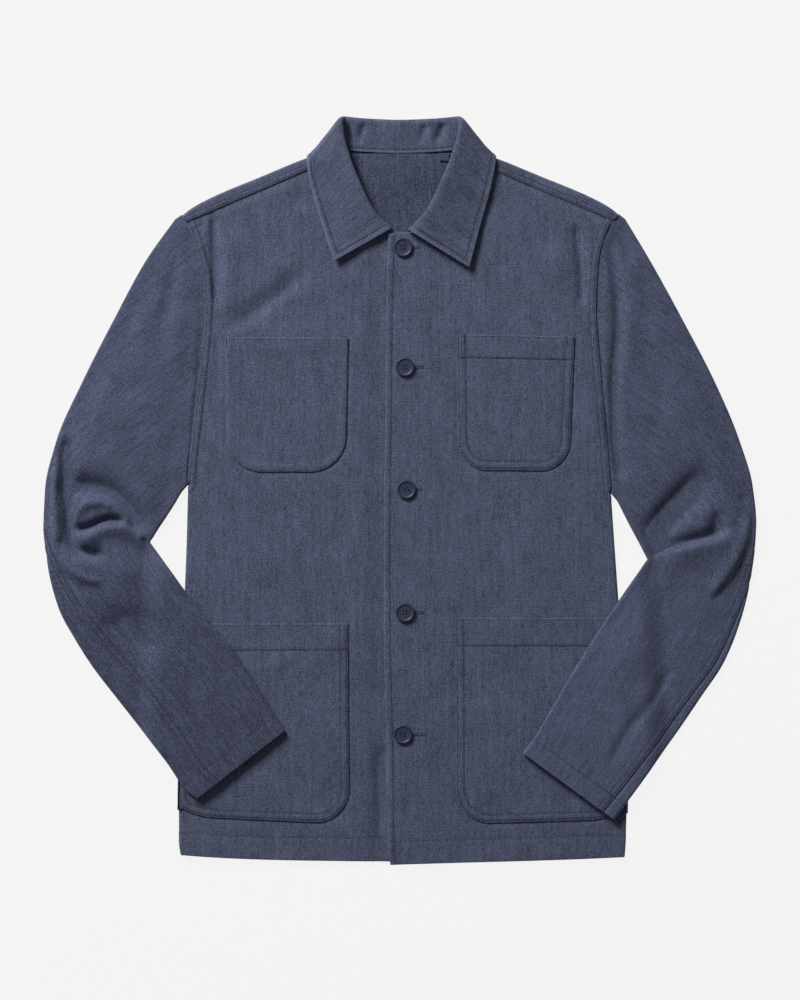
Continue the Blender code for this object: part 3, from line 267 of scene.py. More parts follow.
INNER_SEAM_IN = 16.0  # the inner seam runs this far in, underneath
ARMHOLE_FADE = 3.6  # sections over which a sleeve's rows lose the armhole's curve
RAMP = 28.0  # run over which a forearm climbs towards the body's side
RAMP_STOP = 18.0  # how far outside that side it's fully up

# Patch pockets: top edge, foot corners, and corner radius.
CHEST_POCKETS = {
    # side: left top | right top | left foot | right foot | corner radius
    Side.RIGHT: ((-181.7, 159.1), (-53.4, 157.9), (-179.6, 19.6), (-56.6, 19.6), 36),
    Side.LEFT: ((58.8, 162.2), (181.4, 159.6), (60.6, 21.6), (175.4, 20.4), 30),
}
LOWER_POCKETS = {
    Side.RIGHT: ((-226.2, -138.1), (-54.2, -138.1), (-231, -338), (-52.2, -345.8), 36),
    Side.LEFT: ((57.6, -132.3), (229, -132.3), (58.4, -346), (235, -341), 36),
}
BUTTONS = (
    # name | x | y | turn
    ("button_1", 3.1, 252.2, 12),
    ("button_2", 5.1, 128.1, -8),
    ("button_3", 6.7, 1.1, 20),
    ("button_4", 5.2, -126.6, 5),
    ("button_5", 3.1, -253.1, -14),
)
BUTTONHOLE_START = 10.6  # from the button's middle
BUTTONHOLE_HALF, BUTTONHOLE_TACK = 0.95, 1.7  # half widths of the hole's stitches and of its bar
BUTTONHOLE_ENDS = (20.3, 24, 22, 23.9, 25.5)

# Folds of the cloth, as runs on the plan. A trough is below 0. A lean above 0 is steeper on the right of
# the run as it is walked, one below 0 on its left.
FRONT_FOLDS = (
    # fold | run | half width | height | lean
    ("right shoulder drag", ((-194.5, 290), (-193, 250), (-191, 190)), 5, -4, 0.2),
    ("beside the drag", ((-178, 274), (-175, 184)), 9, 1.6, 0),
    ("armhole nick", ((-205.4, 284), (-205, 269)), 2.8, -1.6, 0),
    ("drag to the leaf", ((-182, 166), (-142, 191), (-96, 230)), 9, -3, 0.25),
    ("above that drag", ((-168, 194), (-120, 232)), 11, 0.9, 0),
    ("right pocket side", ((-188, 164), (-187.5, 94)), 5, -1.9, 0),
    ("under right leaf", ((-92, 312), (-113, 288)), 9, -1.8, 0),
    ("left shoulder drag", ((181, 278), (185, 258), (188.5, 216), (189, 190)), 5, -3.6, 0),
    ("beside left drag", ((160, 286), (171, 206)), 10, 1.5, 0),
    ("below left pocket", ((196, 120), (202, 40)), 8, 1, 0),
    ("placket hollow", ((-20, -262), (-19, -320), (-21, -364)), 7, -2.8, 0),
    ("right waist swell", ((-120, -50), (-150, -104)), 26, 1.8, 0),
    ("left waist swell", ((130, -46), (150, -104)), 26, 1.8, 0),
    ("right belly", ((-70, 6), (-66, -92)), 20, -1.2, 0),
    ("left belly", ((96, -8), (104, -96)), 14, -0.8, 0),
    ("under left leaf", ((92, 250), (112, 226)), 10, -1.2, 0),
)
RIGHT_SLEEVE_FOLDS = (
    ("outer trough", ((-347, 56), (-344, -10), (-341.5, -46), (-334, -62), (-304, -69)), 6.2, -8.8, 0),
    ("outer ridge", ((-361, 56), (-358.5, -16), (-354.5, -58)), 5.4, 6.2, 0),
    ("roll above the slit", ((-350, -12), (-342, -2), (-326, 2.5), (-306, -2.5), (-292, -11), (-281, -24),
     (-270, -48)), 9, -10.5, 0.3),
    ("arm above the roll", ((-330, 34), (-296, 26)), 14, 2.2, 0),
    ("lobe", ((-338, -38), (-336, -25), (-327, -15.5), (-312, -11.5), (-296, -16.5),
     (-285, -27), (-277, -40)), 4.8, 3.4, 0),
    ("slit", ((-340, -42), (-322, -38), (-311, -32.5), (-300, -30), (-284, -33)), 4.2, -7.4, 0.1),
    ("lower lip", ((-336, -48), (-323, -47), (-308.5, -40), (-295.5, -38),
     (-275.5, -43.5), (-256, -58)), 6.4, 4.8, -0.5),
    ("below the lip", ((-336, -56), (-320, -61), (-302, -58)), 10, -0.8, 0),
    ("elbow crease", ((-364, -50), (-350, -73), (-337, -86), (-308, -97)), 4.2, 3.2, 0),
    ("beside that crease", ((-356, -80), (-343, -94), (-318, -106)), 5, -1.6, 0),
    ("forearm swell", ((-300, -82), (-268, -90)), 13, 2.4, 0),
    ("forearm hollow", ((-312, -132), (-276, -147), (-236, -164)), 19, -8.6, 0.3),
    ("forearm light", ((-262, -174), (-240, -196)), 15, 1.6, 0),
    ("outer forearm hollow", ((-318, -138), (-276, -196)), 11, -1.8, 0),
    ("head drape", ((-230, 244), (-238, 210), (-246, 168)), 7, -2.6, 0),
    ("head nick", ((-214.2, 257), (-219, 233)), 3.6, -1.5, 0),
    ("head swell", ((-222, 210), (-236, 120)), 12, 1.8, 0),
    ("arm swell", ((-300, 110), (-296, 60)), 24, 2, 0),
    ("arm drape", ((-272, 200), (-286, 130), (-280, 70)), 12, -1.9, 0),
    ("inner arm drape", ((-232, 70), (-248, -16)), 11, -1.8, 0),
)
LEFT_SLEEVE_FOLDS = (
    ("trough up the arm", ((259, -72), (266, -46), (279, -25), (300, -3), (318, 30)), 16, -12.6, -0.14),
    ("pillow by the fold", ((294, -36), (316, -16)), 8, 1, 0),
    ("hollow by the pillow", ((327, -20), (330.5, -46)), 7.6, -6, 0),
    ("outer pinch", ((350, -8.6), (363, -9)), 3.2, -2, 0),
    ("under the fold edge", ((260, -67), (276, -60), (301, -53), (322, -47.5), (342, -39)), 5.2, -7.6, 0.5),
    ("fold edge", ((258, -74.5), (276, -67.5), (301, -60), (330, -52), (346, -43)), 8, 3.6, -0.62),
    ("forearm ridge", ((369, -18), (355, -58), (344.5, -79), (320, -112)), 6.4, 4, -0.35),
    ("beside the ridge", ((357.5, -68), (349, -83.5), (336, -99), (322, -116)), 4, -0.9, 0),
    ("below the ridge", ((336, -124), (312, -166)), 12, -1, 0),
    ("forearm trough", ((281, -184), (260, -220), (241, -243), (216, -287)), 6, -1.9, 0),
    ("forearm swell", ((252, -150), (222, -196)), 18, 2, 0),
    ("head drape", ((215.5, 272), (219.5, 252), (223.5, 226), (226.5, 209), (227, 170), (223, 110),
     (223.5, 60), (230, 8)), 6, -5.4, 0),
    ("second drape", ((226.5, 288), (233.5, 256), (238, 230)), 4.8, -3.6, 0),
    ("beside the head", ((236, 210), (240, 120)), 9, 1.8, 0),
    ("third drape", ((250, 236), (264, 172)), 9, -1.8, 0),
    ("arm swell", ((290, 120), (292, 60)), 24, 2.2, 0),
    ("arm drape", ((268, 100), (262, 30)), 10, -1.6, 0),
)
SLEEVE_FOLDS = {Side.LEFT: LEFT_SLEEVE_FOLDS, Side.RIGHT: RIGHT_SLEEVE_FOLDS}
STAND_FOLDS = (
    ("right slant", ((-56, 384), (-49, 356)), 4.2, -3.4, 0),
    ("right slant two", ((-36, 385), (-43, 360)), 4, -3.2, 0),
    ("right slant three", ((-22, 384), (-24, 374)), 3, -1.3, 0),
    ("left slant", ((27, 385), (22, 360)), 3.8, -2.6, 0),
    ("left slant two", ((47, 385), (37, 358)), 4.2, -3.4, 0),
)
POCKET_FOLDS = (
    ("pocket slant", ((-124, -192), (-101, -174)), 6, -0.8, 0),
    ("pocket dimple", ((-148, -148), (-142, -156)), 7, -0.5, 0),
    ("pocket swell", ((-120, -230), (-110, -290)), 24, 0.7, 0),
    ("left pocket swell", ((120, -210), (112, -290)), 24, 0.7, 0),
)


def mono(keys: Sequence[float], values: Array, at: Array) -> Array:
    """Reads a monotone cubic through keyed rows.

    Args:
        keys: Rising place of each row.
        values: One row of values for each key.
        at: Places to read.

    Returns:
        One row of values for each place.
    """
    keys = np.asarray(keys, float)
    values = np.asarray(values, float).reshape(len(keys), -1)
    at = np.asarray(at, float).ravel()
    slope = np.diff(values, axis=0) / np.diff(keys)[:, None]
    tangent = np.zeros_like(values)
    before, after = slope[:-1], slope[1:]
    same_way = before * after > 0
    tangent[1:-1] = np.where(same_way, 2 * before * after / np.where(same_way, before + after, 1), 0)
    tangent[0], tangent[-1] = slope[0], slope[-1]
    i = np.clip(np.searchsorted(keys, at, side="right") - 1, 0, len(keys) - 2)
    step = (keys[i + 1] - keys[i])[:, None]
    t = (at - keys[i])[:, None] / step
    return (
        values[i] * (1 + 2 * t) * (1 - t) ** 2
        + values[i + 1] * t * t * (3 - 2 * t)
        + tangent[i] * step * t * (1 - t) ** 2
        + tangent[i + 1] * step * t * t * (t - 1)
    )


def rise(x: Array, low: float, high: float) -> Array:
    """0 below low, 1 above high, and a smooth rise between."""
    t = np.clip((np.asarray(x, float) - low) / (high - low), 0, 1)
    return t * t * (3 - 2 * t)


def bell(x: Array, width: float | Array) -> Array:
    """1 at 0, falling off on both sides over a width."""
    return np.exp(-((x / width) ** 2))


def turned_in(away: Array, depth: float) -> Array:
    """1 where cloth is turned in to this depth, and 0 past its fold."""
    return 1 - rise(away, depth - FOLD_FROM, depth + FOLD_TO)


def lengths(rows: Array) -> Array:
    """Length from the first row to each, as the mean over a row's points."""
    gaps = np.linalg.norm(np.diff(rows, axis=0), axis=-1)
    return np.concatenate(([0.0], np.cumsum(gaps.mean(axis=1) if gaps.ndim > 1 else gaps)))


def unrolled(points: Array) -> Array:
    """Length from a grid's first column to each."""
    gaps = np.linalg.norm(np.diff(points, axis=1), axis=2)
    return np.concatenate((0 * points[:, :1, 0], gaps.cumsum(axis=1)), axis=1)


def ripple(x: Array, y: Array, length: float, seed: int) -> Array:
    """Uneven waves of about one length in every direction, between about -1 and 1.

    Args:
        x: Places across.
        y: Places along.
        length: Mean length of a wave.
        seed: Seed of the waves' headings and phases.

    Returns:
        The waves' height at each place.
    """
    draw = np.random.default_rng(seed)
    total = np.zeros(np.broadcast(x, y).shape)
    waves = 10
    for _ in range(waves):
        heading, phase = draw.uniform(0, math.tau, 2)
        size = math.tau / (length * draw.uniform(0.7, 1.6))
        across = x * math.cos(heading) + y * math.sin(heading)
        along = y * math.cos(heading) - x * math.sin(heading)
        total += np.sin(size * across + phase + 0.9 * np.sin(size * 0.43 * along + 2 * phase))
    return total / math.sqrt(waves * 2)


def places(length: float, step: float, marks: Sequence[float] = ()) -> Array:
    """Places along a length, closer together at both ends and beside each mark.

    Args:
        length: The whole length.
        step: Spacing away from the ends and the marks.
        marks: Places that get a close row on each side.

    Returns:
        Rising places from 0 to the length.
    """
    even = np.linspace(0, length, max(2, round(length / step) + 1))
    close = [EDGE_ROUND, 3 * EDGE_ROUND, length - 3 * EDGE_ROUND, length - EDGE_ROUND]
    close += [mark + away for mark in marks for away in CLOSE_ROWS]
    close = np.array([place for place in close if 0 < place < length])
    clear = np.abs(even[:, None] - close[None, :]).min(axis=1) > 0.4 * step
    clear[0] = clear[-1] = True
    return np.sort(np.concatenate((even[clear], close)))


@dataclass(frozen=True)
class Path:
    """A run of points on the plan."""

    points: Sequence[Sequence[float]]

    def steps(self) -> Array:
        """Length from the start to each point."""
        return lengths(np.asarray(self.points, float))

    def smooth(self, spacing: float = 3.0) -> Path:
        """The same run as a smooth curve with points at this spacing.

        Args:
            spacing: Space between its points.

        Returns:
            The curve.
        """
        keys = self.steps()
        at = np.linspace(0, keys[-1], max(2, round(keys[-1] / spacing) + 1))
        return Path(mono(keys, np.asarray(self.points, float), at))

    def inside(self, distance: float) -> Path:
        """The run moved to its left, as it is walked, by a distance.

        Args:
            distance: How far it moves.

        Returns:
            The moved run.
        """
        points = np.asarray(self.points, float)
        heading = np.gradient(points, axis=0)
        heading /= np.linalg.norm(heading, axis=1)[:, None]
        return Path(points + distance * np.stack((-heading[:, 1], heading[:, 0]), axis=1))

    def near(self, x: Array, y: Array) -> tuple[Array, Array, Array]:
        """Finds the run's nearest point to each place.

        Args:
            x: Places across.
            y: Places along.

        Returns:
            Distance to the run, length along it, and 1 on its left or -1 on its right.
        """
        points = np.asarray(self.points, float)
        lengths = self.steps()
        away = np.full(np.broadcast(x, y).shape, np.inf)
        along = np.zeros(away.shape)
        side = np.ones(away.shape)
        for n in range(len(points) - 1):
            (x0, y0), (x1, y1) = points[n], points[n + 1]
            run = lengths[n + 1] - lengths[n]
            if run < 1e-9:
                continue
            ux, uy = (x1 - x0) / run, (y1 - y0) / run
            t = np.clip((x - x0) * ux + (y - y0) * uy, 0, run)
            dx, dy = x - x0 - t * ux, y - y0 - t * uy
            distance = np.hypot(dx, dy)
            closer = distance < away
            away = np.where(closer, distance, away)
            along = np.where(closer, lengths[n] + t, along)
            side = np.where(closer, np.where(ux * dy - uy * dx >= 0, 1.0, -1.0), side)
        return away, along, side


@dataclass(frozen=True)
class Folds:
    """Soft troughs and ridges of one stretch of cloth."""

    table: Sequence[tuple]

    def height(self, x: Array, y: Array) -> Array:
        """Height that the folds add at places of the plan.

        Args:
            x: Places across.
            y: Places along.

        Returns:
            The added heights.
        """
        total = np.zeros(np.broadcast(x, y).shape)
        for _, run, width, height, lean in self.table:
            path = Path(run).smooth(5.0)
            away, along, side = path.near(x, y)
            from_end = np.minimum(along, path.steps()[-1] - along)
            taper = rise(from_end, -0.5 * width, min(2.6 * width, 0.45 * path.steps()[-1]))
            total += height * taper * bell(away, width * (1 + lean * side))
        return total


@dataclass(frozen=True)
class Seam:
    """A stitched edge. The edge's cloth is on its left, as it is walked."""

    edge: Path
    rows: tuple[float, ...]  # of stitches, in from the edge
    turned: float  # depth of the turning
    thick: float  # what the turning adds
    pucker: float  # height of the puckers
    pitch: float = 9.5  # their length
    wear: float = 0.6  # fading and painted highlight of the edge itself

    def height(self, x: Array, y: Array) -> Array:
        """What the turning, the stitches' pull and the puckers add at places of the plan.

        Args:
            x: Places across.
            y: Places along.

        Returns:
            The added heights.
        """
        away, along, _ = self.edge.near(x, y)
        total = self.thick * turned_in(away, self.turned)
        for row in self.rows:
            total = total - STITCH_PULL * bell(away - row, 1.0)
        wave = np.sin(math.tau * (along + 0.35 * away) / self.pitch + 1.7 * np.sin(along / 23))
        uneven = 0.6 + 0.4 * np.sin(along / 31 + 1)
        reach = 0.6 * self.turned + 3.5
        return total + self.pucker * wave * uneven * bell(away - self.turned, reach)

    def worn(self, x: Array, y: Array) -> Array:
        """How faded the cloth is, with painted light: most on the edge itself, as fading and a painted
        highlight, and -1 along a row of stitches, as painted shade in its groove.

        Args:
            x: Places across.
            y: Places along.

        Returns:
            The fading and painted light at each place.
        """
        away, _, _ = self.edge.near(x, y)
        edge = self.wear * bell(away, 1.3)
        # painted shade darkens the groove of each row of stitches
        return edge - sum(bell(away - row, 0.9) for row in self.rows)


def edge_x(side: Side, y: Array) -> Array:
    """Where the torso's outline, or the armhole above the underarm, lies across at given heights.

    Args:
        side: Which side.
        y: The heights.

    Returns:
        The places across.
    """
    line = [row[3:5] for row in FRONT_SECTIONS[side]] + [SHOULDERS[side][1]]
    across, heights = zip(*line)
    return mono(heights, across, y)[:, 0].reshape(np.shape(y))


def side_height(side: Side, section: str) -> float:
    """How high one of a front's sections meets its outer edge."""
    return next(row[4] for row in FRONT_SECTIONS[side] if row[0] == section)


def seam_x(side: Side, y: Array) -> Array:
    """Where the side seam lies across, on the underside.

    Args:
        side: Which side.
        y: The heights.

    Returns:
        The places across.
    """
    underarm = side_height(side, "underarm")
    below = np.clip((underarm - y) / (underarm - side_height(side, "waist")), 0, 1)
    return edge_x(side, y) - side.value * (ROLL_OUT + SIDE_STITCH_IN * below)


def neck_lift(x: Array, y: Array) -> Array:
    """How far the collar's fall, lying underneath, lifts the panels round the neck."""
    return NECK_LIFT * rise(y, 302, 332) * rise(-np.abs(x), -150, -104)


def pocket_calm(x: Array, y: Array) -> Array:
    """1 away from the pockets and the collar's leaves, and 0 where a piece lies close on the fronts.

    Args:
        x: Places across.
        y: Places along.

    Returns:
        The calm at each place.
    """
    calm = np.ones(np.broadcast(x, y).shape)
    for table in (CHEST_POCKETS, LOWER_POCKETS):
        for top_in, top_out, foot_in, foot_out, _ in table.values():
            low_x, high_x = min(top_in[0], foot_in[0]), max(top_out[0], foot_out[0])
            low_y, high_y = min(foot_in[1], foot_out[1]), max(top_in[1], top_out[1])
            inside_x = rise(x, low_x - 9, low_x - 3) * rise(-x, -high_x - 9, -high_x - 3)
            inside_y = rise(y, low_y - 9, low_y - 3) * rise(-y, -high_y - 9, -high_y - 3)
            calm = calm * (1 - 0.8 * inside_x * inside_y)
    under_leaf = rise(-np.abs(x), -106, -96) * rise(y, 224, 238)
    return calm * (1 - under_leaf)


def crumple(x: Array, y: Array, seed: int) -> Array:
    """The slight unevenness of cloth that has been washed and pressed."""
    waves = ((0.34, 74), (0.13, 27), (0.05, 11))
    return sum(height * ripple(x, y, length, seed + n) for n, (height, length) in enumerate(waves))


def armhole(side: Side) -> Path:
    """The armhole's edge on the front, walked with the front on its left."""
    y = np.linspace(side_height(side, "underarm"), SHOULDERS[side][1][1], 90)[:: side.value]
    return Path(np.stack((edge_x(side, y), y), axis=1))


def hem(side: Side) -> Path:
    """A front's hem, walked to +X, with the front on its left.

    Args:
        side: Which front.

    Returns:
        The hem.
    """
    _, in_x, in_y, out_x, out_y, sag = FRONT_SECTIONS[side][0]
    share = np.linspace(0, 1, 40)
    x = in_x + (out_x - in_x) * share
    y = in_y + (out_y - in_y) * share + sag * SAG_PEAK * share ** 2 * (1 - share)
    return Path(np.stack((x, y), axis=1)[:: side.value])


def hem_y(side: Side, x: Array) -> Array:
    """Height of a front's hem at places across."""
    return np.interp(x, *np.asarray(hem(side).points).T)


def placket() -> Path:
    """The upper front's edge, walked down from the neck with the front on its left."""
    points = [(row[1], row[2]) for row in FRONT_LEFT_SECTIONS[:12]]
    return Path(points[::-1]).smooth(6.0)


def front_seams(side: Side) -> list[Seam]:
    """The stitched edges of a front.

    Args:
        side: Which front.

    Returns:
        Its seams.
    """
    seams = [
        Seam(armhole(side), ARMHOLE_ROWS, 7.4, thick=0.35, pucker=0.14, pitch=8.0),
        Seam(hem(side), (HEM_DEPTH,), HEM_DEPTH, thick=0.4, pucker=0.2, pitch=10.5),
    ]
    if side is Side.LEFT:
        seams.append(Seam(placket(), (PLACKET_ROW,), 6.4, thick=0.3, pucker=0.08, pitch=12.0))
    return seams


def front_height(x: Array, y: Array, side: Side) -> Array:
    """Middle of a front's cloth above the table, with its folds and seams.

    Args:
        x: Places across.
        y: Places along.
        side: Which front; the wearer's left one is the upper one.

    Returns:
        Heights in millimetres.
    """
    z = FRONT + neck_lift(x, y) + Folds(FRONT_FOLDS).height(x, y) * pocket_calm(x, y)
    z = z + crumple(x, y, FRONT_SEED + side.value)
    for seam in front_seams(side):
        z = z + seam.height(x, y)
    if side is Side.LEFT:
        return z + PLACKET_RISE * rise(-x, -44, -26)
    return z - PLACKET_DIP * rise(x, -40, -20)


@dataclass
class Sheet:
    """A grid of points through the middle of a cloth, with its wall and its weave."""

    points: Array  # rows, columns, 3
    weave: Array  # rows, columns, 2: across and along the grain
    wall: Array  # rows, columns
    # lightness: fading on edges, painted highlights on edges, painted shade along stitch grooves and in
    # shaded places
    worn: Array  # rows, columns
    keep: Optional[Array] = None  # which quads are cloth
    push: Optional[Array] = None  # moves the cloth out along its own normal
    flip: bool = False  # True where rows and columns run clockwise, seen from outside

    def __post_init__(self) -> None:
        """Keeps every quad and pushes nothing, where nothing else is said."""
        rows, columns = self.wall.shape
        self.keep = np.ones((rows - 1, columns - 1), bool) if self.keep is None else self.keep
        self.push = np.zeros((rows, columns)) if self.push is None else self.push

    def quads(self) -> Array:
        """Every quad of the grid, facing out.

        Returns:
            Quads as rows, columns, 4.
        """
        rows, columns = self.points.shape[:2]
        index = np.arange(rows * columns).reshape(rows, columns)
        quads = np.stack((index[:-1, :-1], index[:-1, 1:], index[1:, 1:], index[1:, :-1]), axis=-1)
        return quads[..., ::-1] if self.flip else quads


def placed(name: str, data: bpy.types.ID) -> bpy.types.Object:
    """Puts an object with this data into the scene.

    Args:
        name: Name of the object.
        data: Its mesh, lamp or camera.

    Returns:
        The object.
    """
    made = bpy.data.objects.new(name, data)
    bpy.context.scene.collection.objects.link(made)
    return made


def plain_mesh(name: str, shape: bmesh.types.BMesh) -> bpy.types.Mesh:
    """Turns a shape under construction into a mesh.

    Args:
        name: Name of the mesh.
        shape: The shape, which is used up.

    Returns:
        The mesh.
    """
    mesh = bpy.data.meshes.new(name)
    shape.to_mesh(mesh)
    shape.free()
    return mesh


def as_seen(guide: bpy.types.Object) -> bpy.types.Mesh:
    """A mesh of what an object's modifiers make of it."""
    bpy.context.view_layer.update()
    return bpy.data.meshes.new_from_object(guide.evaluated_get(bpy.context.evaluated_depsgraph_get()))


def quad_edges(faces: Array) -> Array:
    """Directed edges of quads, as rows of two points."""
    return np.concatenate([faces[:, [k, (k + 1) % 4]] for k in range(4)])


def open_edges(faces: Array, count: int) -> Array:
    """Directed edges that only one quad has.

    Args:
        faces: Quads, as rows of four points.
        count: Number of points.

    Returns:
        One row of two points for each open edge.
    """
    edges = quad_edges(faces)
    there, back = edges @ (count, 1), edges @ (1, count)
    return edges[~np.isin(there, back)]


def outward(points: Array, faces: Array) -> Array:
    """Normals of a quad mesh at its points, each the mean of the faces round it.

    Args:
        points: Points of the mesh.
        faces: Its quads, as rows of four points.

    Returns:
        One normal for each point.
    """
    corner = [points[faces[:, k]] for k in range(4)]
    normal = np.cross(corner[2] - corner[0], corner[3] - corner[1])
    normals = np.zeros_like(points)
    for k in range(4):
        np.add.at(normals, faces[:, k], normal)
    return normals / np.maximum(np.linalg.norm(normals, axis=1), 1e-9)[:, None]


def sew(name: str, sheets: Sequence[Sheet], finish: bpy.types.Material) -> bpy.types.Object:
    """Joins sheets that share edges and gives them their wall, with rounded rims.

    Args:
        name: Name of the piece.
        sheets: The sheets, whose shared points coincide.
        finish: Material of the piece.

    Returns:
        The closed piece of cloth.
    """
    starts = np.cumsum([0] + [sheet.wall.size for sheet in sheets])
    shaping = np.concatenate([sheet.quads().reshape(-1, 4) + start for sheet, start in zip(sheets, starts)])
    kept = np.concatenate([sheet.keep.ravel() for sheet in sheets])
    points, weave, wall, worn, push = (
        np.concatenate([getattr(sheet, what).reshape(-1, *size) for sheet in sheets])
        for what, size in (("points", (3,)), ("weave", (2,)), ("wall", ()), ("worn", ()), ("push", ()))
    )
    if len(sheets) > 1:
        _, first, inverse = np.unique(np.round(points, 3), axis=0, return_index=True, return_inverse=True)
        shaping = inverse.ravel()[shaping]
        points, weave, wall, worn, push = (values[first] for values in (points, weave, wall, worn, push))
    normals = outward(points, shaping)
    used, inverse = np.unique(shaping[kept], return_inverse=True)
    faces = inverse.reshape(-1, 4)
    points, normals, weave, wall, worn, push = (
        values[used] for values in (points, normals, weave, wall, worn, push)
    )
    points = points + normals * push[:, None]
    count = len(points)
    rims = open_edges(faces, count)
    on_rim, beside = np.zeros(count, bool), np.zeros(count, bool)
    on_rim[rims.ravel()] = True
    edges = quad_edges(faces)
    short = np.linalg.norm(points[edges[:, 0]] - points[edges[:, 1]], axis=1) < 1.5 * EDGE_ROUND
    for end, other in ((0, 1), (1, 0)):
        beside[edges[short & on_rim[edges[:, end]], other]] = True
    wall[beside & ~on_rim] *= BESIDE_RIM
    wall[on_rim] *= ON_RIM
    half = normals * wall[:, None] / 2
    round_rim = np.concatenate((rims[:, ::-1], rims + count), axis=1)
    closed = np.concatenate((faces, faces[:, ::-1] + count, round_rim))
    mesh = bpy.data.meshes.new(name)
    corners = np.concatenate((points + half, points - half))
    corners[:, 2] = np.maximum(corners[:, 2], 0)
    mesh.from_pydata((MM * corners).tolist(), [], closed.tolist())
    layer = mesh.uv_layers.new(name="weave")
    layer.data.foreach_set("uv", (MM * np.concatenate((weave, weave)))[closed.ravel()].ravel())
    layer = mesh.attributes.new("worn", "FLOAT", "POINT")
    layer.data.foreach_set("value", np.concatenate((worn, worn)))
    mesh.materials.append(finish)
    mesh.shade_smooth()
    return placed(name, mesh)


class Number:
    """A shader's number socket that takes part in Python expressions."""

    def __init__(self, shader: Shader, socket: bpy.types.NodeSocket) -> None:
        """Wraps a socket of a shader's node."""
        self.shader = shader
        self.socket = socket

    def _with(self, operation: str, *values: object) -> Number:
        """Adds a Math node on these values."""
        return self.shader.node("ShaderNodeMath", {"operation": operation}, *values).number()

    def __add__(self, other: object) -> Number:
        """Self plus other."""
        return self._with("ADD", self, other)

    __radd__ = __add__

    def __mul__(self, other: object) -> Number:
        """Self times other."""
        return self._with("MULTIPLY", self, other)

    __rmul__ = __mul__

    def __sub__(self, other: object) -> Number:
        """Self less other."""
        return self._with("SUBTRACT", self, other)

    def above(self, low: float, high: float) -> Number:
        """0 below low, 1 above high, and a smooth rise between."""
        settings = {"interpolation_type": "SMOOTHSTEP"}
        return self.shader.node("ShaderNodeMapRange", settings, self, low, high, 0.0, 1.0).number()

    def sine(self) -> Number:
        """The sine of self, in radians."""
        return self._with("SINE", self)


@dataclass(frozen=True)
class Node:
    """A node of a shader, with its outputs at hand."""

    shader: Shader
    made: bpy.types.Node

    def number(self, output: object = 0) -> Number:
        """One of its outputs as a number."""
        return Number(self.shader, self.made.outputs[output])

    def out(self, output: object = 0) -> bpy.types.NodeSocket:
        """One of its outputs."""
        return self.made.outputs[output]


def feed(tree: bpy.types.NodeTree, socket: bpy.types.NodeSocket, value: object) -> None:
    """Links a value into a socket, or sets it there.

    Args:
        tree: The tree that the socket is in.
        socket: The socket.
        value: A number, a link or a plain value.
    """
    if isinstance(value, Number):
        value = value.socket
    if isinstance(value, bpy.types.NodeSocket):
        tree.links.new(value, socket)
    else:
        socket.default_value = value


def add_node(
    tree: bpy.types.NodeTree, kind: str, settings: Optional[dict] = None, *values: object, **named: object
) -> bpy.types.Node:
    """Adds a node to a tree.

    Args:
        tree: The tree.
        kind: The node's type.
        settings: Properties, which are set first.
        *values: Values or links of its first inputs, in order.
        **named: Values or links by input name, with _ for a space.

    Returns:
        The node.
    """
    made = tree.nodes.new(kind)
    for name, value in (settings or {}).items():
        setattr(made, name, value)
    for place, value in enumerate(values):
        feed(tree, made.inputs[place], value)
    for name, value in named.items():
        feed(tree, made.inputs[name.replace("_", " ")], value)
    return made


class Shader:
    """A material under construction, with a Principled BSDF."""

    def __init__(self, name: str) -> None:
        """Starts an empty Principled material of this name.

        Args:
            name: Name of the material.
        """
        self.material = bpy.data.materials.new(name)
        self.material.use_nodes = True
        self.tree = self.material.node_tree
        self.surface = self.tree.nodes["Principled BSDF"]

    def node(self, kind: str, settings: Optional[dict] = None, *values: object, **named: object) -> Node:
        """Adds a node to the material, as add_node does."""
        return Node(self, add_node(self.tree, kind, settings, *values, **named))

    def noise(self, where: object, scale: float, detail: float = 2.0, roughness: float = 0.5) -> Number:
        """A noise texture's value, read at a vector.

        Args:
            where: The vector that it is read at.
            scale: Its scale.
            detail: Its octaves.
            roughness: How strong the finer ones are.

        Returns:
            Its value.
        """
        made = self.node(
            "ShaderNodeTexNoise", None, Vector=where, Scale=scale, Detail=detail, Roughness=roughness
        )
        return made.number(0)

    def mix(self, factor: object, first: object, second: object) -> bpy.types.NodeSocket:
        """A colour between two colours.

        Args:
            factor: 0 for the first to 1 for the second.
            first: One colour.
            second: The other colour.

        Returns:
            The colour between them.
        """
        made = self.node("ShaderNodeMix", {"data_type": "RGBA"}).made
        for place, value in ((0, factor), (6, first), (7, second)):
            feed(self.tree, made.inputs[place], value)
        return made.outputs[2]

    def painted(self, colour: tuple[float, float, float], **values: object) -> bpy.types.Material:
        """Feeds the Principled BSDF, sets the viewport's colour and hands the material over.

        Args:
            colour: Colour in the viewport.
            **values: Inputs of the Principled BSDF, by name with _ for a space.

        Returns:
            The material.
        """
        self.material.diffuse_color = (*colour, 1.0)
        for name, value in values.items():
            feed(self.tree, self.surface.inputs[name.replace("_", " ")], value)
        return self.material

    def bump(self, strength: float, distance: float, height: Number) -> bpy.types.NodeSocket:
        """A normal that follows a height."""
        made = self.node("ShaderNodeBump", None, Strength=strength, Distance=distance, Height=height)
        return made.out("Normal")

    def shade(self, colour: object, light: Number) -> bpy.types.NodeSocket:
        """A colour made lighter or darker by a number round 1."""
        return self.node("ShaderNodeVectorMath", {"operation": "SCALE"}, colour, Scale=light).out()


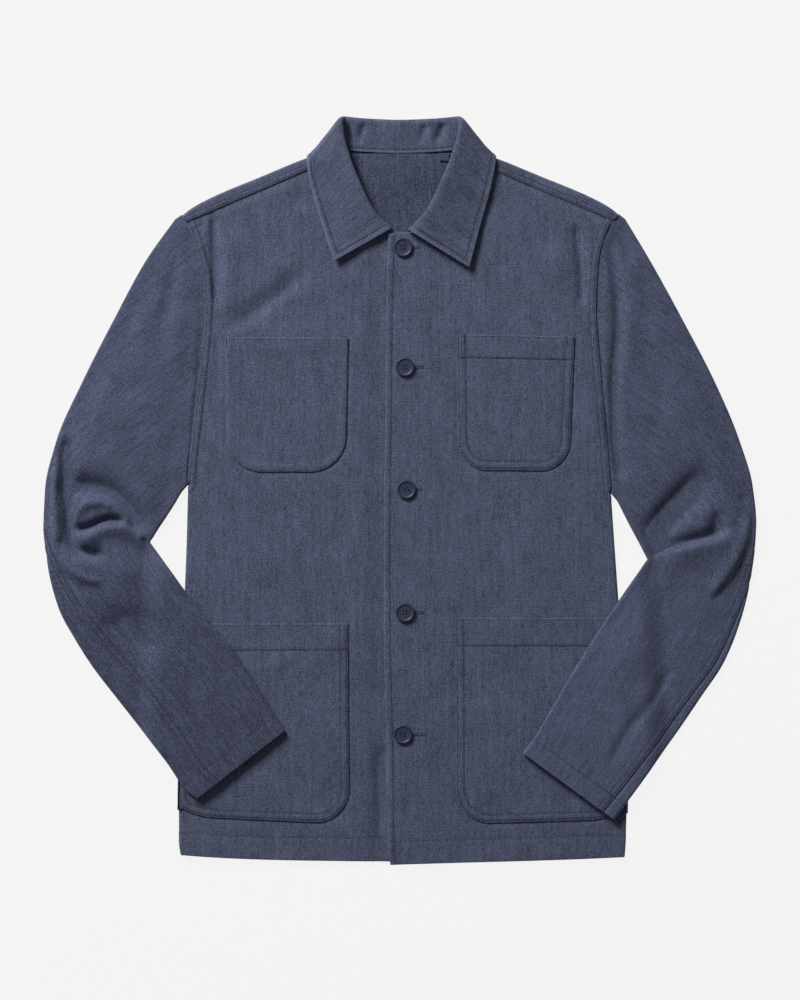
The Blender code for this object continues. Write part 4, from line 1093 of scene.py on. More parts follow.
@dataclass(frozen=True)
class ClothFinish:
    """Washed indigo cloth of dark and pale yarns: uneven warp, a few weft slubs and pale flecks."""

    name: str
    colour: tuple[float, float, float]
    warp: float = 1.20  # how much each of these changes the yarns' lightness
    weft: float = 0.70
    grain: float = 1.9
    streaks: float = 0.60
    clouds: float = 0.62
    # how strongly the fading and painted light attribute changes the lightness
    wear: float = 0.42
    dark: float = 0.36  # the darkest yarn's colour, as a share of the colour
    pale: tuple[float, float, float] = (2.10, 2.08, 1.96)
    sheen: float = 0.12
    yarn: float = 0.0011

    def material(self) -> bpy.types.Material:
        """Builds the cloth on the weave's own coordinates.

        Returns:
            The material.
        """
        shader = Shader(self.name)
        weave = shader.node("ShaderNodeUVMap", {"uv_map": "weave"}).out()
        parts = shader.node("ShaderNodeSeparateXYZ", None, weave)
        across, along = parts.number(0), parts.number(1)

        def stretched(wide: float, tall: float) -> bpy.types.NodeSocket:
            """The weave's coordinates, in units of a width and a length."""
            place = across * (1 / wide), along * (1 / tall), 0.0
            return shader.node("ShaderNodeCombineXYZ", None, *place).out()

        warp = shader.noise(stretched(0.0015, 0.008), 1.0, 2.0, 0.6) - 0.5
        weft = shader.noise(stretched(0.006, 0.0017), 1.0, 2.0, 0.6) - 0.5
        grain = shader.noise(stretched(0.0014, 0.0016), 1.0, 1.0) - 0.5
        streaks = shader.noise(stretched(0.0042, 0.05), 1.0, 1.0) - 0.5
        clouds = shader.noise(stretched(0.022, 0.026), 1.0, 3.0, 0.62) - 0.5
        # the lightness attribute: fading, painted highlights and painted shade
        worn = shader.node("ShaderNodeAttribute", {"attribute_name": "worn"}).number("Fac")
        lightness = (
            warp * self.warp + weft * self.weft + grain * self.grain + streaks * self.streaks
            + clouds * self.clouds + worn * self.wear
        )
        dark = tuple(self.dark * part for part in self.colour)
        pale = tuple(more * part for more, part in zip(self.pale, self.colour))
        even = (self.colour[1] - dark[1]) / (pale[1] - dark[1])
        yarns = lightness * (self.colour[1] / (pale[1] - dark[1])) + even
        flecks = shader.noise(stretched(0.0018, 0.0030), 1.0, 1.0).above(0.72, 0.79) * 0.5
        base = shader.mix(flecks, shader.mix(yarns, (*dark, 1.0), (*pale, 1.0)), (0.26, 0.28, 0.38, 1.0))
        twill = ((across + along) * (math.tau / self.yarn) + warp * 9.0).sine()
        relief = twill * 0.22 + warp * 1.7 + weft * 1.3 + grain * 1.4
        return shader.painted(
            self.colour,
            Base_Color=base,
            Roughness=0.86 + grain * 0.12,
            Normal=shader.bump(0.6, 0.0003, relief),
            Sheen_Weight=self.sheen,
            Sheen_Roughness=0.45,
            Sheen_Tint=(0.72, 0.76, 1.0, 1.0),
            Specular_IOR_Level=0.2,
        )


@dataclass(frozen=True)
class ThreadFinish:
    """Spun sewing thread, darker than the cloth."""

    name: str = "sewing_thread"
    colour: tuple[float, float, float] = (0.028, 0.033, 0.060)

    def material(self) -> bpy.types.Material:
        """Builds the thread, with its ply as fine bump.

        Returns:
            The material.
        """
        shader = Shader(self.name)
        place = shader.node("ShaderNodeTexCoord").out("Object")
        fibre = shader.noise(place, 2600.0, 2.0)
        tone = shader.noise(place, 40.0, 2.0)
        light = 0.86 + fibre * 0.16 + tone * 0.12
        return shader.painted(
            self.colour,
            Base_Color=shader.shade(self.colour, light),
            Roughness=0.62 + fibre * 0.1,
            Normal=shader.bump(0.3, 0.0001, fibre),
            Sheen_Weight=0.1,
        )


@dataclass(frozen=True)
class ButtonFinish:
    """Cast navy button: satin, faintly clouded and finely scuffed."""

    name: str = "navy_button"
    colour: tuple[float, float, float] = (0.026, 0.034, 0.066)

    def material(self) -> bpy.types.Material:
        """Builds the button's finish on object coordinates.

        Returns:
            The material.
        """
        shader = Shader(self.name)
        place = shader.node("ShaderNodeTexCoord").out("Object")
        cloud = shader.noise(place, 260.0, 3.0)
        scuff = shader.noise(place, 1900.0, 2.0)
        light = 0.82 + cloud * 0.36
        return shader.painted(
            self.colour,
            Base_Color=shader.shade(self.colour, light),
            Roughness=0.40 + scuff * 0.16,
            Normal=shader.bump(0.12, 0.0001, scuff),
            Coat_Weight=0.06,
            Specular_IOR_Level=0.35,
            Coat_Roughness=0.3,
        )


@dataclass(frozen=True)
class TableFinish:
    """Plain pale surface, lit from within so that it stays even."""

    name: str = "pale_table"
    colour: tuple[float, float, float] = (0.035, 0.035, 0.035)
    glow: float = 0.874

    def material(self) -> bpy.types.Material:
        """Builds the surface.

        Returns:
            The material.
        """
        return Shader(self.name).painted(
            self.colour,
            Base_Color=(*self.colour, 1.0),
            Roughness=0.95,
            Specular_IOR_Level=0.0,
            Emission_Color=(1.0, 1.0, 1.0, 1.0),
            Emission_Strength=self.glow,
        )


STITCH_SIZES = ("Pitch", "Length", "Width", "Height")


class StitchKind(Enum):
    """Pitch, length, width and height of a stitch."""

    RUN = (STITCH_PITCH, STITCH_LENGTH, 0.70, 0.40)
    SATIN = (0.55, 0.62, 1.7, 0.55)
    TACK = (0.50, 0.60, 1.5, 0.6)


@dataclass(frozen=True)
class StitchRow:
    """A row of stitches along a run, on the upper or the under side of its cloth."""

    path: Path
    kind: StitchKind = StitchKind.RUN
    below: bool = False


def stitch_tree() -> bpy.types.NodeTree:
    """Builds the geometry nodes that lay stitches along a mesh's edges.

    Returns:
        A tree with inputs for the stitch's pitch, length, width, height and material.
    """
    tree = bpy.data.node_groups.new("stitches", "GeometryNodeTree")
    tree.interface.new_socket("Geometry", in_out="INPUT", socket_type="NodeSocketGeometry")
    for name in STITCH_SIZES:
        tree.interface.new_socket(name, in_out="INPUT", socket_type="NodeSocketFloat")
    tree.interface.new_socket("Thread", in_out="INPUT", socket_type="NodeSocketMaterial")
    tree.interface.new_socket("Geometry", in_out="OUTPUT", socket_type="NodeSocketGeometry")

    node = partial(add_node, tree)
    given = tree.nodes.new("NodeGroupInput").outputs
    curve = node("GeometryNodeMeshToCurve", Mesh=given["Geometry"])
    spaced = node(
        "GeometryNodeResampleCurve", {"mode": "LENGTH"}, Curve=curve.outputs["Curve"], Length=given["Pitch"]
    )
    tangent = node("GeometryNodeInputTangent")
    heading = node("FunctionNodeAlignRotationToVector", {"axis": "X"}, Vector=tangent.outputs["Tangent"])
    size = node("ShaderNodeCombineXYZ", X=given["Length"], Y=given["Width"], Z=given["Height"])
    thread = node("GeometryNodeMeshUVSphere", Segments=6, Rings=4, Radius=0.5)
    upright = (0.0, math.pi / 2, 0.0)
    turned = node("GeometryNodeTransform", Geometry=thread.outputs["Mesh"], Rotation=upright)
    laid = node(
        "GeometryNodeInstanceOnPoints",
        Points=spaced.outputs["Curve"],
        Instance=turned.outputs["Geometry"],
        Rotation=heading.outputs["Rotation"],
        Scale=size.outputs["Vector"],
    )
    real = node("GeometryNodeRealizeInstances", Geometry=laid.outputs["Instances"])
    dressed = node("GeometryNodeSetMaterial", Geometry=real.outputs["Geometry"], Material=given["Thread"])
    smooth = node("GeometryNodeSetShadeSmooth", Geometry=dressed.outputs["Geometry"], Shade_Smooth=True)
    tree.links.new(smooth.outputs["Geometry"], tree.nodes.new("NodeGroupOutput").inputs["Geometry"])
    return tree


@dataclass
class Needle:
    """Lays rows of stitches on a finished piece of cloth."""

    tree: bpy.types.NodeTree
    thread: bpy.types.Material
    surfaces: dict[str, BVHTree] = field(default_factory=dict)

    def follow(self, cloth: bpy.types.Object, row: StitchRow) -> list[list[Vector]]:
        """Drops a row's run onto the cloth.

        Args:
            cloth: The piece that is stitched.
            row: The row.

        Returns:
            Stretches of points on the cloth's surface, split where the run leaves it.
        """
        mesh = cloth.data
        if cloth.name not in self.surfaces:
            corners = [vertex.co for vertex in mesh.vertices]
            faces = [tuple(face.vertices) for face in mesh.polygons]
            self.surfaces[cloth.name] = BVHTree.FromPolygons(corners, faces)
        surface = self.surfaces[cloth.name]
        sign = -1 if row.below else 1
        stretches: list[list[Vector]] = [[]]
        spacing = 0.5 if row.kind is not StitchKind.RUN else 1.5
        for x, y in row.path.smooth(spacing).points:
            start = Vector((MM * x, MM * y, sign * 0.06))
            hit, normal, _, _ = surface.ray_cast(start, Vector((0, 0, -sign)))
            if hit is None:
                stretches.append([])
            else:
                stretches[-1].append(hit + normal * (THREAD_SEAT * MM))
        return [stretch for stretch in stretches if len(stretch) > 2]

    def sew(self, name: str, cloth: bpy.types.Object, rows: Sequence[StitchRow]) -> bpy.types.Object:
        """Makes one piece of all the stitches on a cloth.

        Args:
            name: Name of the stitches.
            cloth: The piece that is stitched.
            rows: Rows of stitches.

        Returns:
            The stitches as one plain mesh.
        """
        joined = bmesh.new()
        for kind in StitchKind:
            stretches = [s for row in rows if row.kind is kind for s in self.follow(cloth, row)]
            if not stretches:
                continue
            points = [point for stretch in stretches for point in stretch]
            edges, start = [], 0
            for stretch in stretches:
                edges += [(start + n, start + n + 1) for n in range(len(stretch) - 1)]
                start += len(stretch)
            guide_mesh = bpy.data.meshes.new("stitch_guide")
            guide_mesh.from_pydata([tuple(p) for p in points], edges, [])
            guide = placed("stitch_guide", guide_mesh)
            modifier = guide.modifiers.new("stitches", "NODES")
            modifier.node_group = self.tree
            given = dict(zip(STITCH_SIZES, (MM * size for size in kind.value)), Thread=self.thread)
            for item in self.tree.interface.items_tree:
                if item.in_out == "INPUT" and item.name in given:
                    modifier[item.identifier] = given[item.name]
            made = as_seen(guide)
            joined.from_mesh(made)
            bpy.data.objects.remove(guide)
            bpy.data.meshes.remove(made)
        mesh = plain_mesh(name, joined)
        mesh.materials.append(self.thread)
        mesh.shade_smooth()
        for vertex in mesh.vertices:
            vertex.co.z = max(vertex.co.z, 0)
        return placed(name, mesh)


@dataclass
class Dressmaker:
    """Sews each piece, stitches it, and puts it in the place of its node."""

    needle: Needle
    finish: bpy.types.Material

    def make(
        self,
        node: str,
        sheets: Sequence[Sheet],
        rows: Sequence[StitchRow],
        finish: Optional[bpy.types.Material] = None,
    ) -> bpy.types.Object:
        """Makes one piece of cloth.

        Args:
            node: The CAD node that it replaces.
            sheets: Its sheets.
            rows: Its rows of stitches.
            finish: Its material, if not the plain cloth.

        Returns:
            The piece.
        """
        cloth = sew(f"{node}_cloth", sheets, finish or self.finish)
        if rows:
            stitches = self.needle.sew(f"{node}_stitches", cloth, rows)
            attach(stitches, "root")
        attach(cloth, "root")
        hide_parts(node)
        LOG.info("%s: %d faces, %d rows of stitches", node, len(cloth.data.polygons), len(rows))
        return cloth


def half_turn(centre: Array, away: Array, turn: Array, low: float | Array) -> Array:
    """Middle of the cloth round a half turn from the upper to the lower layer.

    Args:
        centre: Plan points, one for each row.
        away: Direction of the turn on the plan, one for each row or one for all.
        turn: 0 on the upper layer to 1 on the lower.
        low: Height of the lower layer.

    Returns:
        Points as rows, turns, 3.
    """
    angle = math.pi * turn
    out = np.broadcast_to(away, centre.shape)[:, None]
    plan = centre[:, None] + out * (ROLL * np.sin(angle)[None, :, None])
    height = np.broadcast_to(low, centre.shape[:1])[:, None] + ROLL + ROLL * np.cos(angle)
    return np.concatenate((plan, height[..., None]), axis=-1)


@dataclass
class Front:
    """One front: button edge to side, round the side's roll, and under to the side seam."""

    side: Side
    row_step: float = 3.0
    column_step: float = 2.7
    roll_steps: int = 9
    under_columns: int = 8
    ease: float = 6.0  # run above the underarm over which the side's roll dies out
    calm: float = 0.12  # share of the width over which folds die out at the side

    def shares(self, width: Array) -> Array:
        """Where the columns lie: close at both edges, with places for their stitching, and even between.

        Args:
            width: Width of each row.

        Returns:
            Shares of the width from the inner edge, one row for each width.
        """
        inner = (0.0, 1.0)
        if self.side is Side.LEFT:
            inner = (0.0, EDGE_ROUND, 3 * EDGE_ROUND, 3.2, 4.7, 5.6, 6.2, 6.8, 7.8)
        outer = np.array((10.4, 8.7, 7.8, 7.2, 6.6, 5.7, 4.2, 2.8, 1.9, 1.4, 0.9, EDGE_ROUND, 0.0))
        count = round((width.max() - inner[-1] - outer[0]) / self.column_step)
        even = np.linspace(0, 1, count + 1)[1:-1]
        first, last = np.broadcast_to(inner, (len(width), len(inner))), width[:, None] - outer[None]
        middle = first[:, -1:] + even[None] * (last[:, :1] - first[:, -1:])
        return np.concatenate((first, middle, last), axis=1) / width[:, None]

    def sheet(self) -> Sheet:
        """Lays out the front's grid.

        Returns:
            The sheet, with its roll kept only below the underarm.
        """
        table = FRONT_SECTIONS[self.side]
        sign = self.side.value
        names = [row[0] for row in table]
        ends = np.array([(row[1:3], row[3:5]) for row in table])
        keys = lengths(ends)
        at = places(keys[-1], self.row_step, (HEM_DEPTH,))
        underarm, neck = keys[names.index("underarm")], keys[names.index("neck curve low")]
        at[np.argmin(np.abs(at - underarm))] = underarm
        start, end = mono(keys, ends[:, 0], at), mono(keys, ends[:, 1], at)
        sag = mono(keys, [row[5] for row in table], at)[:, 0]
        along = (end - start) / np.linalg.norm(end - start, axis=1)[:, None]
        rolled = 1 - rise(at, underarm, underarm + self.ease)
        start = start + along * (GAP / 2 * (at > neck))[:, None]
        end = np.stack((edge_x(self.side, end[:, 1]), end[:, 1]), axis=1)
        end = end - along * (ROLL_OUT * rolled)[:, None]
        tuck = SHOULDER_TUCK * rise(at, keys[-1] - 6, keys[-1])
        shares = self.shares(np.linalg.norm(end - start, axis=1))
        plan = start[:, None] + shares[..., None] * (end - start)[:, None]
        plan[..., 1] += (sag * SAG_PEAK)[:, None] * shares ** 2 * (1 - shares) + tuck[:, None]
        x, y = plan[..., 0], plan[..., 1]
        flat = FRONT + neck_lift(x, y)
        calm = 1 - (1 - rise(1 - shares, 0, self.calm)) * rolled[:, None]
        away, _, _ = Path(SHOULDERS[self.side][2:]).near(x, y)
        z = flat + (front_height(x, y, self.side) - flat) * calm
        z = z - SHOULDER_DROP * (1 - rise(away, 1.5, 8.0))
        for pocket in POCKETS:
            if pocket.side is self.side:
                away, _, _ = pocket.rim().near(x, y)
                z = z - FRONT_SEAT * bell(away, 2.2)
        turn = np.linspace(0, 1, self.roll_steps + 1)[1:]
        roll = half_turn(end, np.array((sign, 0.0)), turn, REST)
        under = np.linspace(0, 1, self.under_columns + 1)[1:]
        under[-2:] = 1 - EDGE_ROUND / SIDE_STITCH_IN, 1
        reach = seam_x(self.side, end[:, 1]) + sign * GAP / 2 - end[:, 0]
        under_x = end[:, :1] + under[None] * reach[:, None]
        under_y = np.repeat(end[:, 1:], len(under), axis=1)
        under = np.stack((under_x, under_y, np.full(under_x.shape, REST)), axis=-1)
        points = np.concatenate((np.stack((x, y, z), axis=-1), roll, under), axis=1)
        x, y = points[..., 0], points[..., 1]
        grain = x[:, :1] + sign * unrolled(points[..., :2])
        away, _, _ = armhole(self.side).near(x, y)
        turned = np.maximum(turned_in(y - hem_y(self.side, x), HEM_DEPTH), 0.8 * (1 - rise(away, 6.8, 8.4)))
        placket_top, _, _ = Path(ends[-6:-4, 0]).near(x, y)
        # fading and painted highlight on the seams' edges, painted shade along their rows of stitches
        worn = np.clip(sum(seam.worn(x, y) for seam in front_seams(self.side)), -1, 1)
        # painted highlight along the placket's top edge
        worn = worn + bell(placket_top, 1.6)
        keep = np.ones((len(at) - 1, points.shape[1] - 1), bool)
        keep[np.searchsorted(at, underarm + 0.01) - 1:, shares.shape[1] - 1:] = False
        return Sheet(
            points,
            np.stack((grain, y), axis=-1),
            CLOTH_WALL + TURNING * turned,
            worn,
            keep,
            flip=self.side is Side.RIGHT,
        )

    def stitches(self) -> list[StitchRow]:
        """The front's rows of stitches.

        Returns:
            The rows.
        """
        edge = armhole(self.side)
        rows = [StitchRow(edge.inside(inset)) for inset in ARMHOLE_ROWS]
        rows.append(StitchRow(hem(self.side).inside(HEM_DEPTH)))
        y = np.linspace(-378.0, -8.0, 120)
        for inset in SIDE_ROWS:
            x = seam_x(self.side, y) + self.side.value * inset
            rows.append(StitchRow(Path(np.stack((x, y), axis=1)), below=True))
        if self.side is Side.LEFT:
            rows.append(StitchRow(placket().inside(PLACKET_ROW)))
            for (_, x, y, _), end in zip(BUTTONS, BUTTONHOLE_ENDS):
                for away in (-BUTTONHOLE_HALF, BUTTONHOLE_HALF):
                    run = Path(((x + BUTTONHOLE_START, y + away), (end, y + away)))
                    rows.append(StitchRow(run, StitchKind.SATIN))
                run = Path(((end + 0.4, y - BUTTONHOLE_TACK), (end + 0.4, y + BUTTONHOLE_TACK)))
                rows.append(StitchRow(run, StitchKind.TACK))
        return rows

    def build(self, maker: Dressmaker) -> None:
        """Makes the front."""
        name, flat = f"front_{self.side.word}", (0.30, 0.76)
        maker.make(name, [self.sheet()], self.stitches())


@dataclass
class Back:
    """The back: one piece that turns up over both shoulders to their forward seams."""

    row_step: float = 6.0
    outer_columns: int = 44
    inner_columns: int = 18
    roll_steps: int = 9
    ease: float = 22.0
    unfaded: float = 0.7  # painted shade: how much darker the cloth is inside the neck, under the collar
    # the strip's last columns, from the seam
    strip: tuple[float, ...] = (7.4, 6.5, 5.7, 4.9, 3.8, 2.6, 1.9, 1.4, 0.9, EDGE_ROUND, 0.0)

    def shoulder(self, side: Side, shares: Array) -> tuple[Array, Array, Array]:
        """Centre of the shoulder's roll, its seam, and the direction outwards.

        Args:
            side: Which shoulder.
            shares: Places from the neck to the sleeve.

        Returns:
            Three arrays of plan points or directions, one row for each share.
        """
        outline_in, outline_out, seam_in, seam_out = (np.array(p) for p in SHOULDERS[side])
        outline = outline_in + (outline_out - outline_in) * shares[:, None]
        seam = seam_in + (seam_out - seam_in) * shares[:, None]
        away = outline - seam
        outline[:, 1] += mono(*zip(*SHOULDER_BOW), shares)[:, 0]
        away /= np.linalg.norm(away, axis=1)[:, None]
        return outline - away * ROLL_OUT, seam, away

    def panel(self, shares: Array) -> Sheet:
        """The part that lies on the table.

        Args:
            shares: Places from the neck's line to each side.

        Returns:
            The sheet, from hem to shoulders.
        """
        lines = np.array([((0.0, row[1]), row[2:4]) for row in BACK_SECTIONS])
        keys = lengths(lines)
        at = places(keys[-1], self.row_step, (HEM_DEPTH,))
        underarm = keys[[row[0] for row in BACK_SECTIONS].index("underarm")]
        middle, beside = mono(keys, lines[:, 0], at), mono(keys, lines[:, 1], at)
        last = rise(at, keys[-1] - 24, keys[-1])[:, None, None]
        inner = np.linspace(0, 1, self.inner_columns + 1)[1:]
        halves = {}
        for side in Side:
            sign = side.value
            y = mono(keys, [row[4 if side is Side.LEFT else 5] for row in BACK_SECTIONS], at)[:, 0]
            above = rise(at, underarm, underarm + self.ease)
            x = (seam_x(side, y) - sign * GAP / 2) * (1 - above) + edge_x(side, y) * above
            outer = np.stack((x, y), axis=1)
            start = beside * (sign, 1)
            half = start[:, None] + shares[None, :, None] * (outer - start)[:, None]
            centres, _, _ = self.shoulder(side, shares)
            half = half + (centres - half[-1])[None] * last
            to_middle = half[:, :1] + inner[None, :, None] * (middle[:, None] - half[:, :1])
            halves[side] = np.concatenate((half[:, ::-1], to_middle), axis=1)
        plan = np.concatenate((halves[Side.RIGHT], halves[Side.LEFT][:, -2::-1]), axis=1)
        x, y = plan[..., 0], plan[..., 1]
        edge_fade = rise(390 - y, 40, 70) * rise(y, -384, -330)
        z = REST + neck_lift(x, y) + 0.12 * (1 + ripple(x, y, 60, BACK_SEED)) * edge_fade
        wall = CLOTH_WALL + (SOLID_WALL - CLOTH_WALL) * turned_in(y + 382, HEM_DEPTH)
        # painted shade inside the neck, under the collar
        worn = -self.unfaded * rise(-np.abs(x), -84, -64) * rise(y, 230, 250) * rise(-y, -354, -350)
        return Sheet(np.stack((x, y, z), axis=-1), plan, wall, worn, flip=True)

    def strip_sheet(self, side: Side, shares: Array) -> Sheet:
        """The strip that comes up over a shoulder and down to the forward seam.

        Args:
            side: Which shoulder.
            shares: Places from the neck to the sleeve.

        Returns:
            The sheet; its first row is the panel's last.
        """
        centre, seam, away = self.shoulder(side, shares)
        low = REST + neck_lift(centre[:, 0], centre[:, 1])
        roll = half_turn(centre, away, np.linspace(1, 0, self.roll_steps + 1), low)
        width = np.linalg.norm(seam - centre, axis=1)[:, None]
        near = 1 - np.array(self.strip)[None] * np.minimum(1 / width, 0.86 / self.strip[0])
        reach = np.concatenate((near[:, :1] * np.linspace(0, 1, 7)[None, 1:-1], near), axis=1)
        plan = centre[:, None] + reach[..., None] * (seam - centre)[:, None]
        x, y = plan[..., 0], plan[..., 1]
        flat = FRONT + neck_lift(x, y)
        edge = Path(SHOULDERS[side][2:])
        felled = Seam(edge, SHOULDER_ROWS, 6.6, thick=0.25, pucker=0.10, pitch=8.5)
        away, _, _ = edge.near(x, y)
        waves = crumple(x, y, FRONT_SEED + side.value) + Folds(FRONT_FOLDS).height(x, y)
        ends = rise(np.minimum(shares, 1 - shares), 0, 0.05)[:, None]
        z = flat + (waves + felled.height(x, y)) * rise(reach, 0, 0.35) * (0.4 + 0.6 * ends)
        points = np.concatenate((roll, np.stack((x, y, z), axis=-1)), axis=1)
        wall = np.full(points.shape[:2], CLOTH_WALL)
        wall[:, -x.shape[1]:] += 0.8 * TURNING * (1 - rise(away, 6.2, 7.6))
        worn = np.zeros(points.shape[:2])
        # fading and painted highlight on the seam's edge, painted shade along its rows
        worn[:, -x.shape[1]:] = felled.worn(x, y)
        across = np.repeat(points[:, :1, 0], points.shape[1], axis=1)
        weave = np.stack((across, points[:, :1, 1] + unrolled(points)), axis=-1)
        return Sheet(points, weave, wall, worn, flip=side is Side.RIGHT)

    def stitches(self) -> list[StitchRow]:
        """The back's rows of stitches.

        Returns:
            The rows.
        """
        rows = []
        for side in Side:
            seam = Path(SHOULDERS[side][2:][:: side.value])
            rows += [StitchRow(seam.smooth().inside(inset)) for inset in SHOULDER_ROWS]
            y = np.linspace(16.0, SHOULDERS[side][1][1] - 8, 90)
            for inset in BACK_ARMHOLE_ROWS:
                path = np.stack((edge_x(side, y) - side.value * inset, y), axis=1)
                rows.append(StitchRow(Path(path), below=True))
        x = np.linspace(-192.0, 194.0, 60)
        rows.append(StitchRow(Path(np.stack((x, -383.0 + HEM_DEPTH + 0 * x), axis=1)), below=True))
        return rows

    def build(self, maker: Dressmaker) -> None:
        """Makes the back.

        Args:
            maker: Who sews the piece.
        """
        shares = places(150.0, 150.0 / self.outer_columns) / 150.0
        sheets = [self.panel(shares)] + [self.strip_sheet(side, shares) for side in Side]
        maker.make("back", sheets, self.stitches())


@dataclass
class Sleeve:
    """One of the two pieces of a sleeve, between the inner seam and the elbow seam."""

    side: Side
    top: bool
    row_step: float = 2.2
    # what the cloth up to each turning takes of the columns
    costs: tuple[float, ...] = (-40.0, 0.0, 9.0, 79.0, 88.0, 128.0)
    top_columns: int = 96
    under_columns: int = 52
    shoulder: float = 34.0  # run over which the sleeve swells from its edge
    opens: float = 4.2  # run over which it widens from the armhole
    tuck: float = 13.0  # run over which its top comes up from under the front's edge
    fold_floor: float = -3.2  # a fold never presses the top layer lower than this
    floor_soft: float = 0.35
    grain_from: float = 3.4  # above this section the grain keeps its heading up to the shoulder

    def sections(self) -> tuple[Array, Array, Array, Array, Array, Array]:
        """Reads the sleeve's sections row by row.

        Returns:
            Inner edge, outer edge, loft, elbow seam, section number and length from the armhole.
        """
        values = np.array([row[1:] for row in SLEEVE_SECTIONS[self.side]])
        keys, numbers = lengths((values[:, 0:2] + values[:, 2:4]) / 2), np.arange(len(values))
        length = places(keys[-1], self.row_step, (keys[-1] - CUFF_DEPTH,))
        number = np.interp(length, keys, numbers)
        rows = mono(numbers, values, number)
        return rows[:, 0:2], rows[:, 2:4], rows[:, 4], rows[:, 5], number, length

    def seams(self, inner: Array, outer: Array, seam_in: Array) -> tuple[Array, Array, Array, Array]:
        """Places round the sleeve of its turnings and seams.

        Args:
            inner: Inner edge of each row.
            outer: Outer edge of each row.
            seam_in: Elbow seam of each row, in from the outer edge.

        Returns:
            Turnings as rows, 6; then the inner seam, the elbow seam, and the inner seam once round.
        """
        straight = np.linalg.norm(outer - inner, axis=1) - 2 * ROLL_OUT
        rim = math.pi * ROLL
        turn = rim + 0 * straight
        steps = np.stack((-rim / 2 - straight, straight, turn, straight, turn, straight))
        inner_seam = np.full(len(straight), -rim / 2 - (INNER_SEAM_IN - ROLL_OUT))
        outer_top = rim / 2 + straight
        elbow = np.where(
            seam_in >= ROLL_OUT,
            outer_top - (seam_in - ROLL_OUT),
            np.where(
                seam_in <= -ROLL_OUT,
                outer_top + rim - seam_in - ROLL_OUT,
                outer_top + rim * (1 - seam_in / ROLL_OUT) / 2,
            ),
        )
        return np.cumsum(steps, axis=0).T, inner_seam, elbow, inner_seam + 2 * (rim + straight)

    def rise_over_body(self, x: Array, y: Array) -> Array:
        """How far the forearm is lifted where it climbs over the torso's side."""
        outside = self.side.value * (x - edge_x(self.side, y))
        return FOREARM_RISE * rise(-outside, -RAMP - RAMP_STOP, -RAMP_STOP) * rise(-y, 42, 84)

    def bow(self, share: Array) -> Array:
        """How far the armhole's curve lies across from the straight line between its ends.

        Args:
            share: Shares of that line, from the inner edge.

        Returns:
            Lengths across, at each share.
        """
        in_x, in_y, out_x, out_y = SLEEVE_SECTIONS[self.side][0][1:5]
        heights = side_height(self.side, "underarm"), SHOULDERS[self.side][1][1]

        def away(at: Array) -> Array:
            """From the straight line to the armhole at shares of the line."""
            x, y = in_x + (out_x - in_x) * at, in_y + (out_y - in_y) * at
            return edge_x(self.side, np.clip(y, *heights)) - x

        return away(share) - away(np.ones(1)) * rise(share, 0.86, 1.0)

    def tube(self, rows: tuple[Array, ...], round_: Array) -> tuple[Array, Array]:
        """Points round the flattened sleeve.

        Args:
            rows: What sections() gives.
            round_: Places round each row, from the inner edge over the top and back below.

        Returns:
            Points as rows, columns, 3, and 1 where a point is on the top layer.
        """
        inner, outer, loft, _, number, length = rows
        width = np.linalg.norm(outer - inner, axis=1)[:, None]
        across = (outer - inner) / width
        straight, rim = width - 2 * ROLL_OUT, math.pi * ROLL
        half = rim / 2
        on_top = (round_ > half) & (round_ < half + straight)
        inner_rim = np.abs(round_) <= half
        outer_rim = (round_ >= half + straight) & (round_ <= half + straight + rim)
        inner_turn, outer_turn = round_ / ROLL, (round_ - half - straight) / ROLL
        reach = np.select(
            [inner_rim, on_top, outer_rim, round_ < -half],
            [
                ROLL_OUT - ROLL * np.cos(inner_turn),
                ROLL_OUT + round_ - half,
                width - ROLL_OUT + ROLL * np.sin(outer_turn),
                ROLL_OUT - (round_ + half),
            ],
            width - ROLL_OUT - (round_ - half - straight - rim),
        )
        share = np.select(
            [inner_rim, on_top, outer_rim],
            [(1 + np.sin(inner_turn)) / 2, 1.0, (1 + np.cos(outer_turn)) / 2],
            0.0,
        )
        out_of = rise(length, 0.3, self.opens)[:, None]
        lifted = rise(length, 2.6, self.tuck)[:, None]
        slim = 1 - 2 * ARMHOLE_TUCK * (1 - out_of) / width
        reach = width / 2 + (reach - width / 2) * slim
        plan = inner[:, None] + across[:, None] * reach[..., None]
        fade = 1 - rise(number, 0, ARMHOLE_FADE)[:, None]
        inward = ARMHOLE_REACH + ROLL_OUT * (1 - rise(reach, 18, 34))
        x = plan[..., 0] + self.bow(reach / width) * fade - self.side.value * inward * (1 - out_of)
        y = plan[..., 1]
        low = REST + self.rise_over_body(x, y)
        from_edge = np.minimum(reach, width - reach) - ROLL_OUT
        swell = (loft[:, None] - 2 * ROLL) * rise(from_edge, 0, self.shoulder)
        calm = rise(length, 2, 9)[:, None] * rise(from_edge, 0, 9)
        folds = Folds(SLEEVE_FOLDS[self.side]).height(x, y)
        bend = (folds + crumple(x, y, SLEEVE_SEED + self.side.value)) * calm
        floor = self.fold_floor
        pressed = floor + self.floor_soft * np.logaddexp(0, (swell + bend - floor) / self.floor_soft)
        height = 2 * ROLL * share + np.where(on_top, pressed, 0)
        squeeze = 1 - (1 - lifted) * ARMHOLE_TUCK / ROLL
        height = ROLL + (height - ROLL) * squeeze
        return np.stack((x, y, low + height), axis=-1), on_top

    def cuff(self) -> Path:
        """The cuff's edge, walked with the sleeve on its left."""
        last = SLEEVE_SECTIONS[self.side][-1]
        return Path((last[1:3], last[3:5])[:: self.side.value])

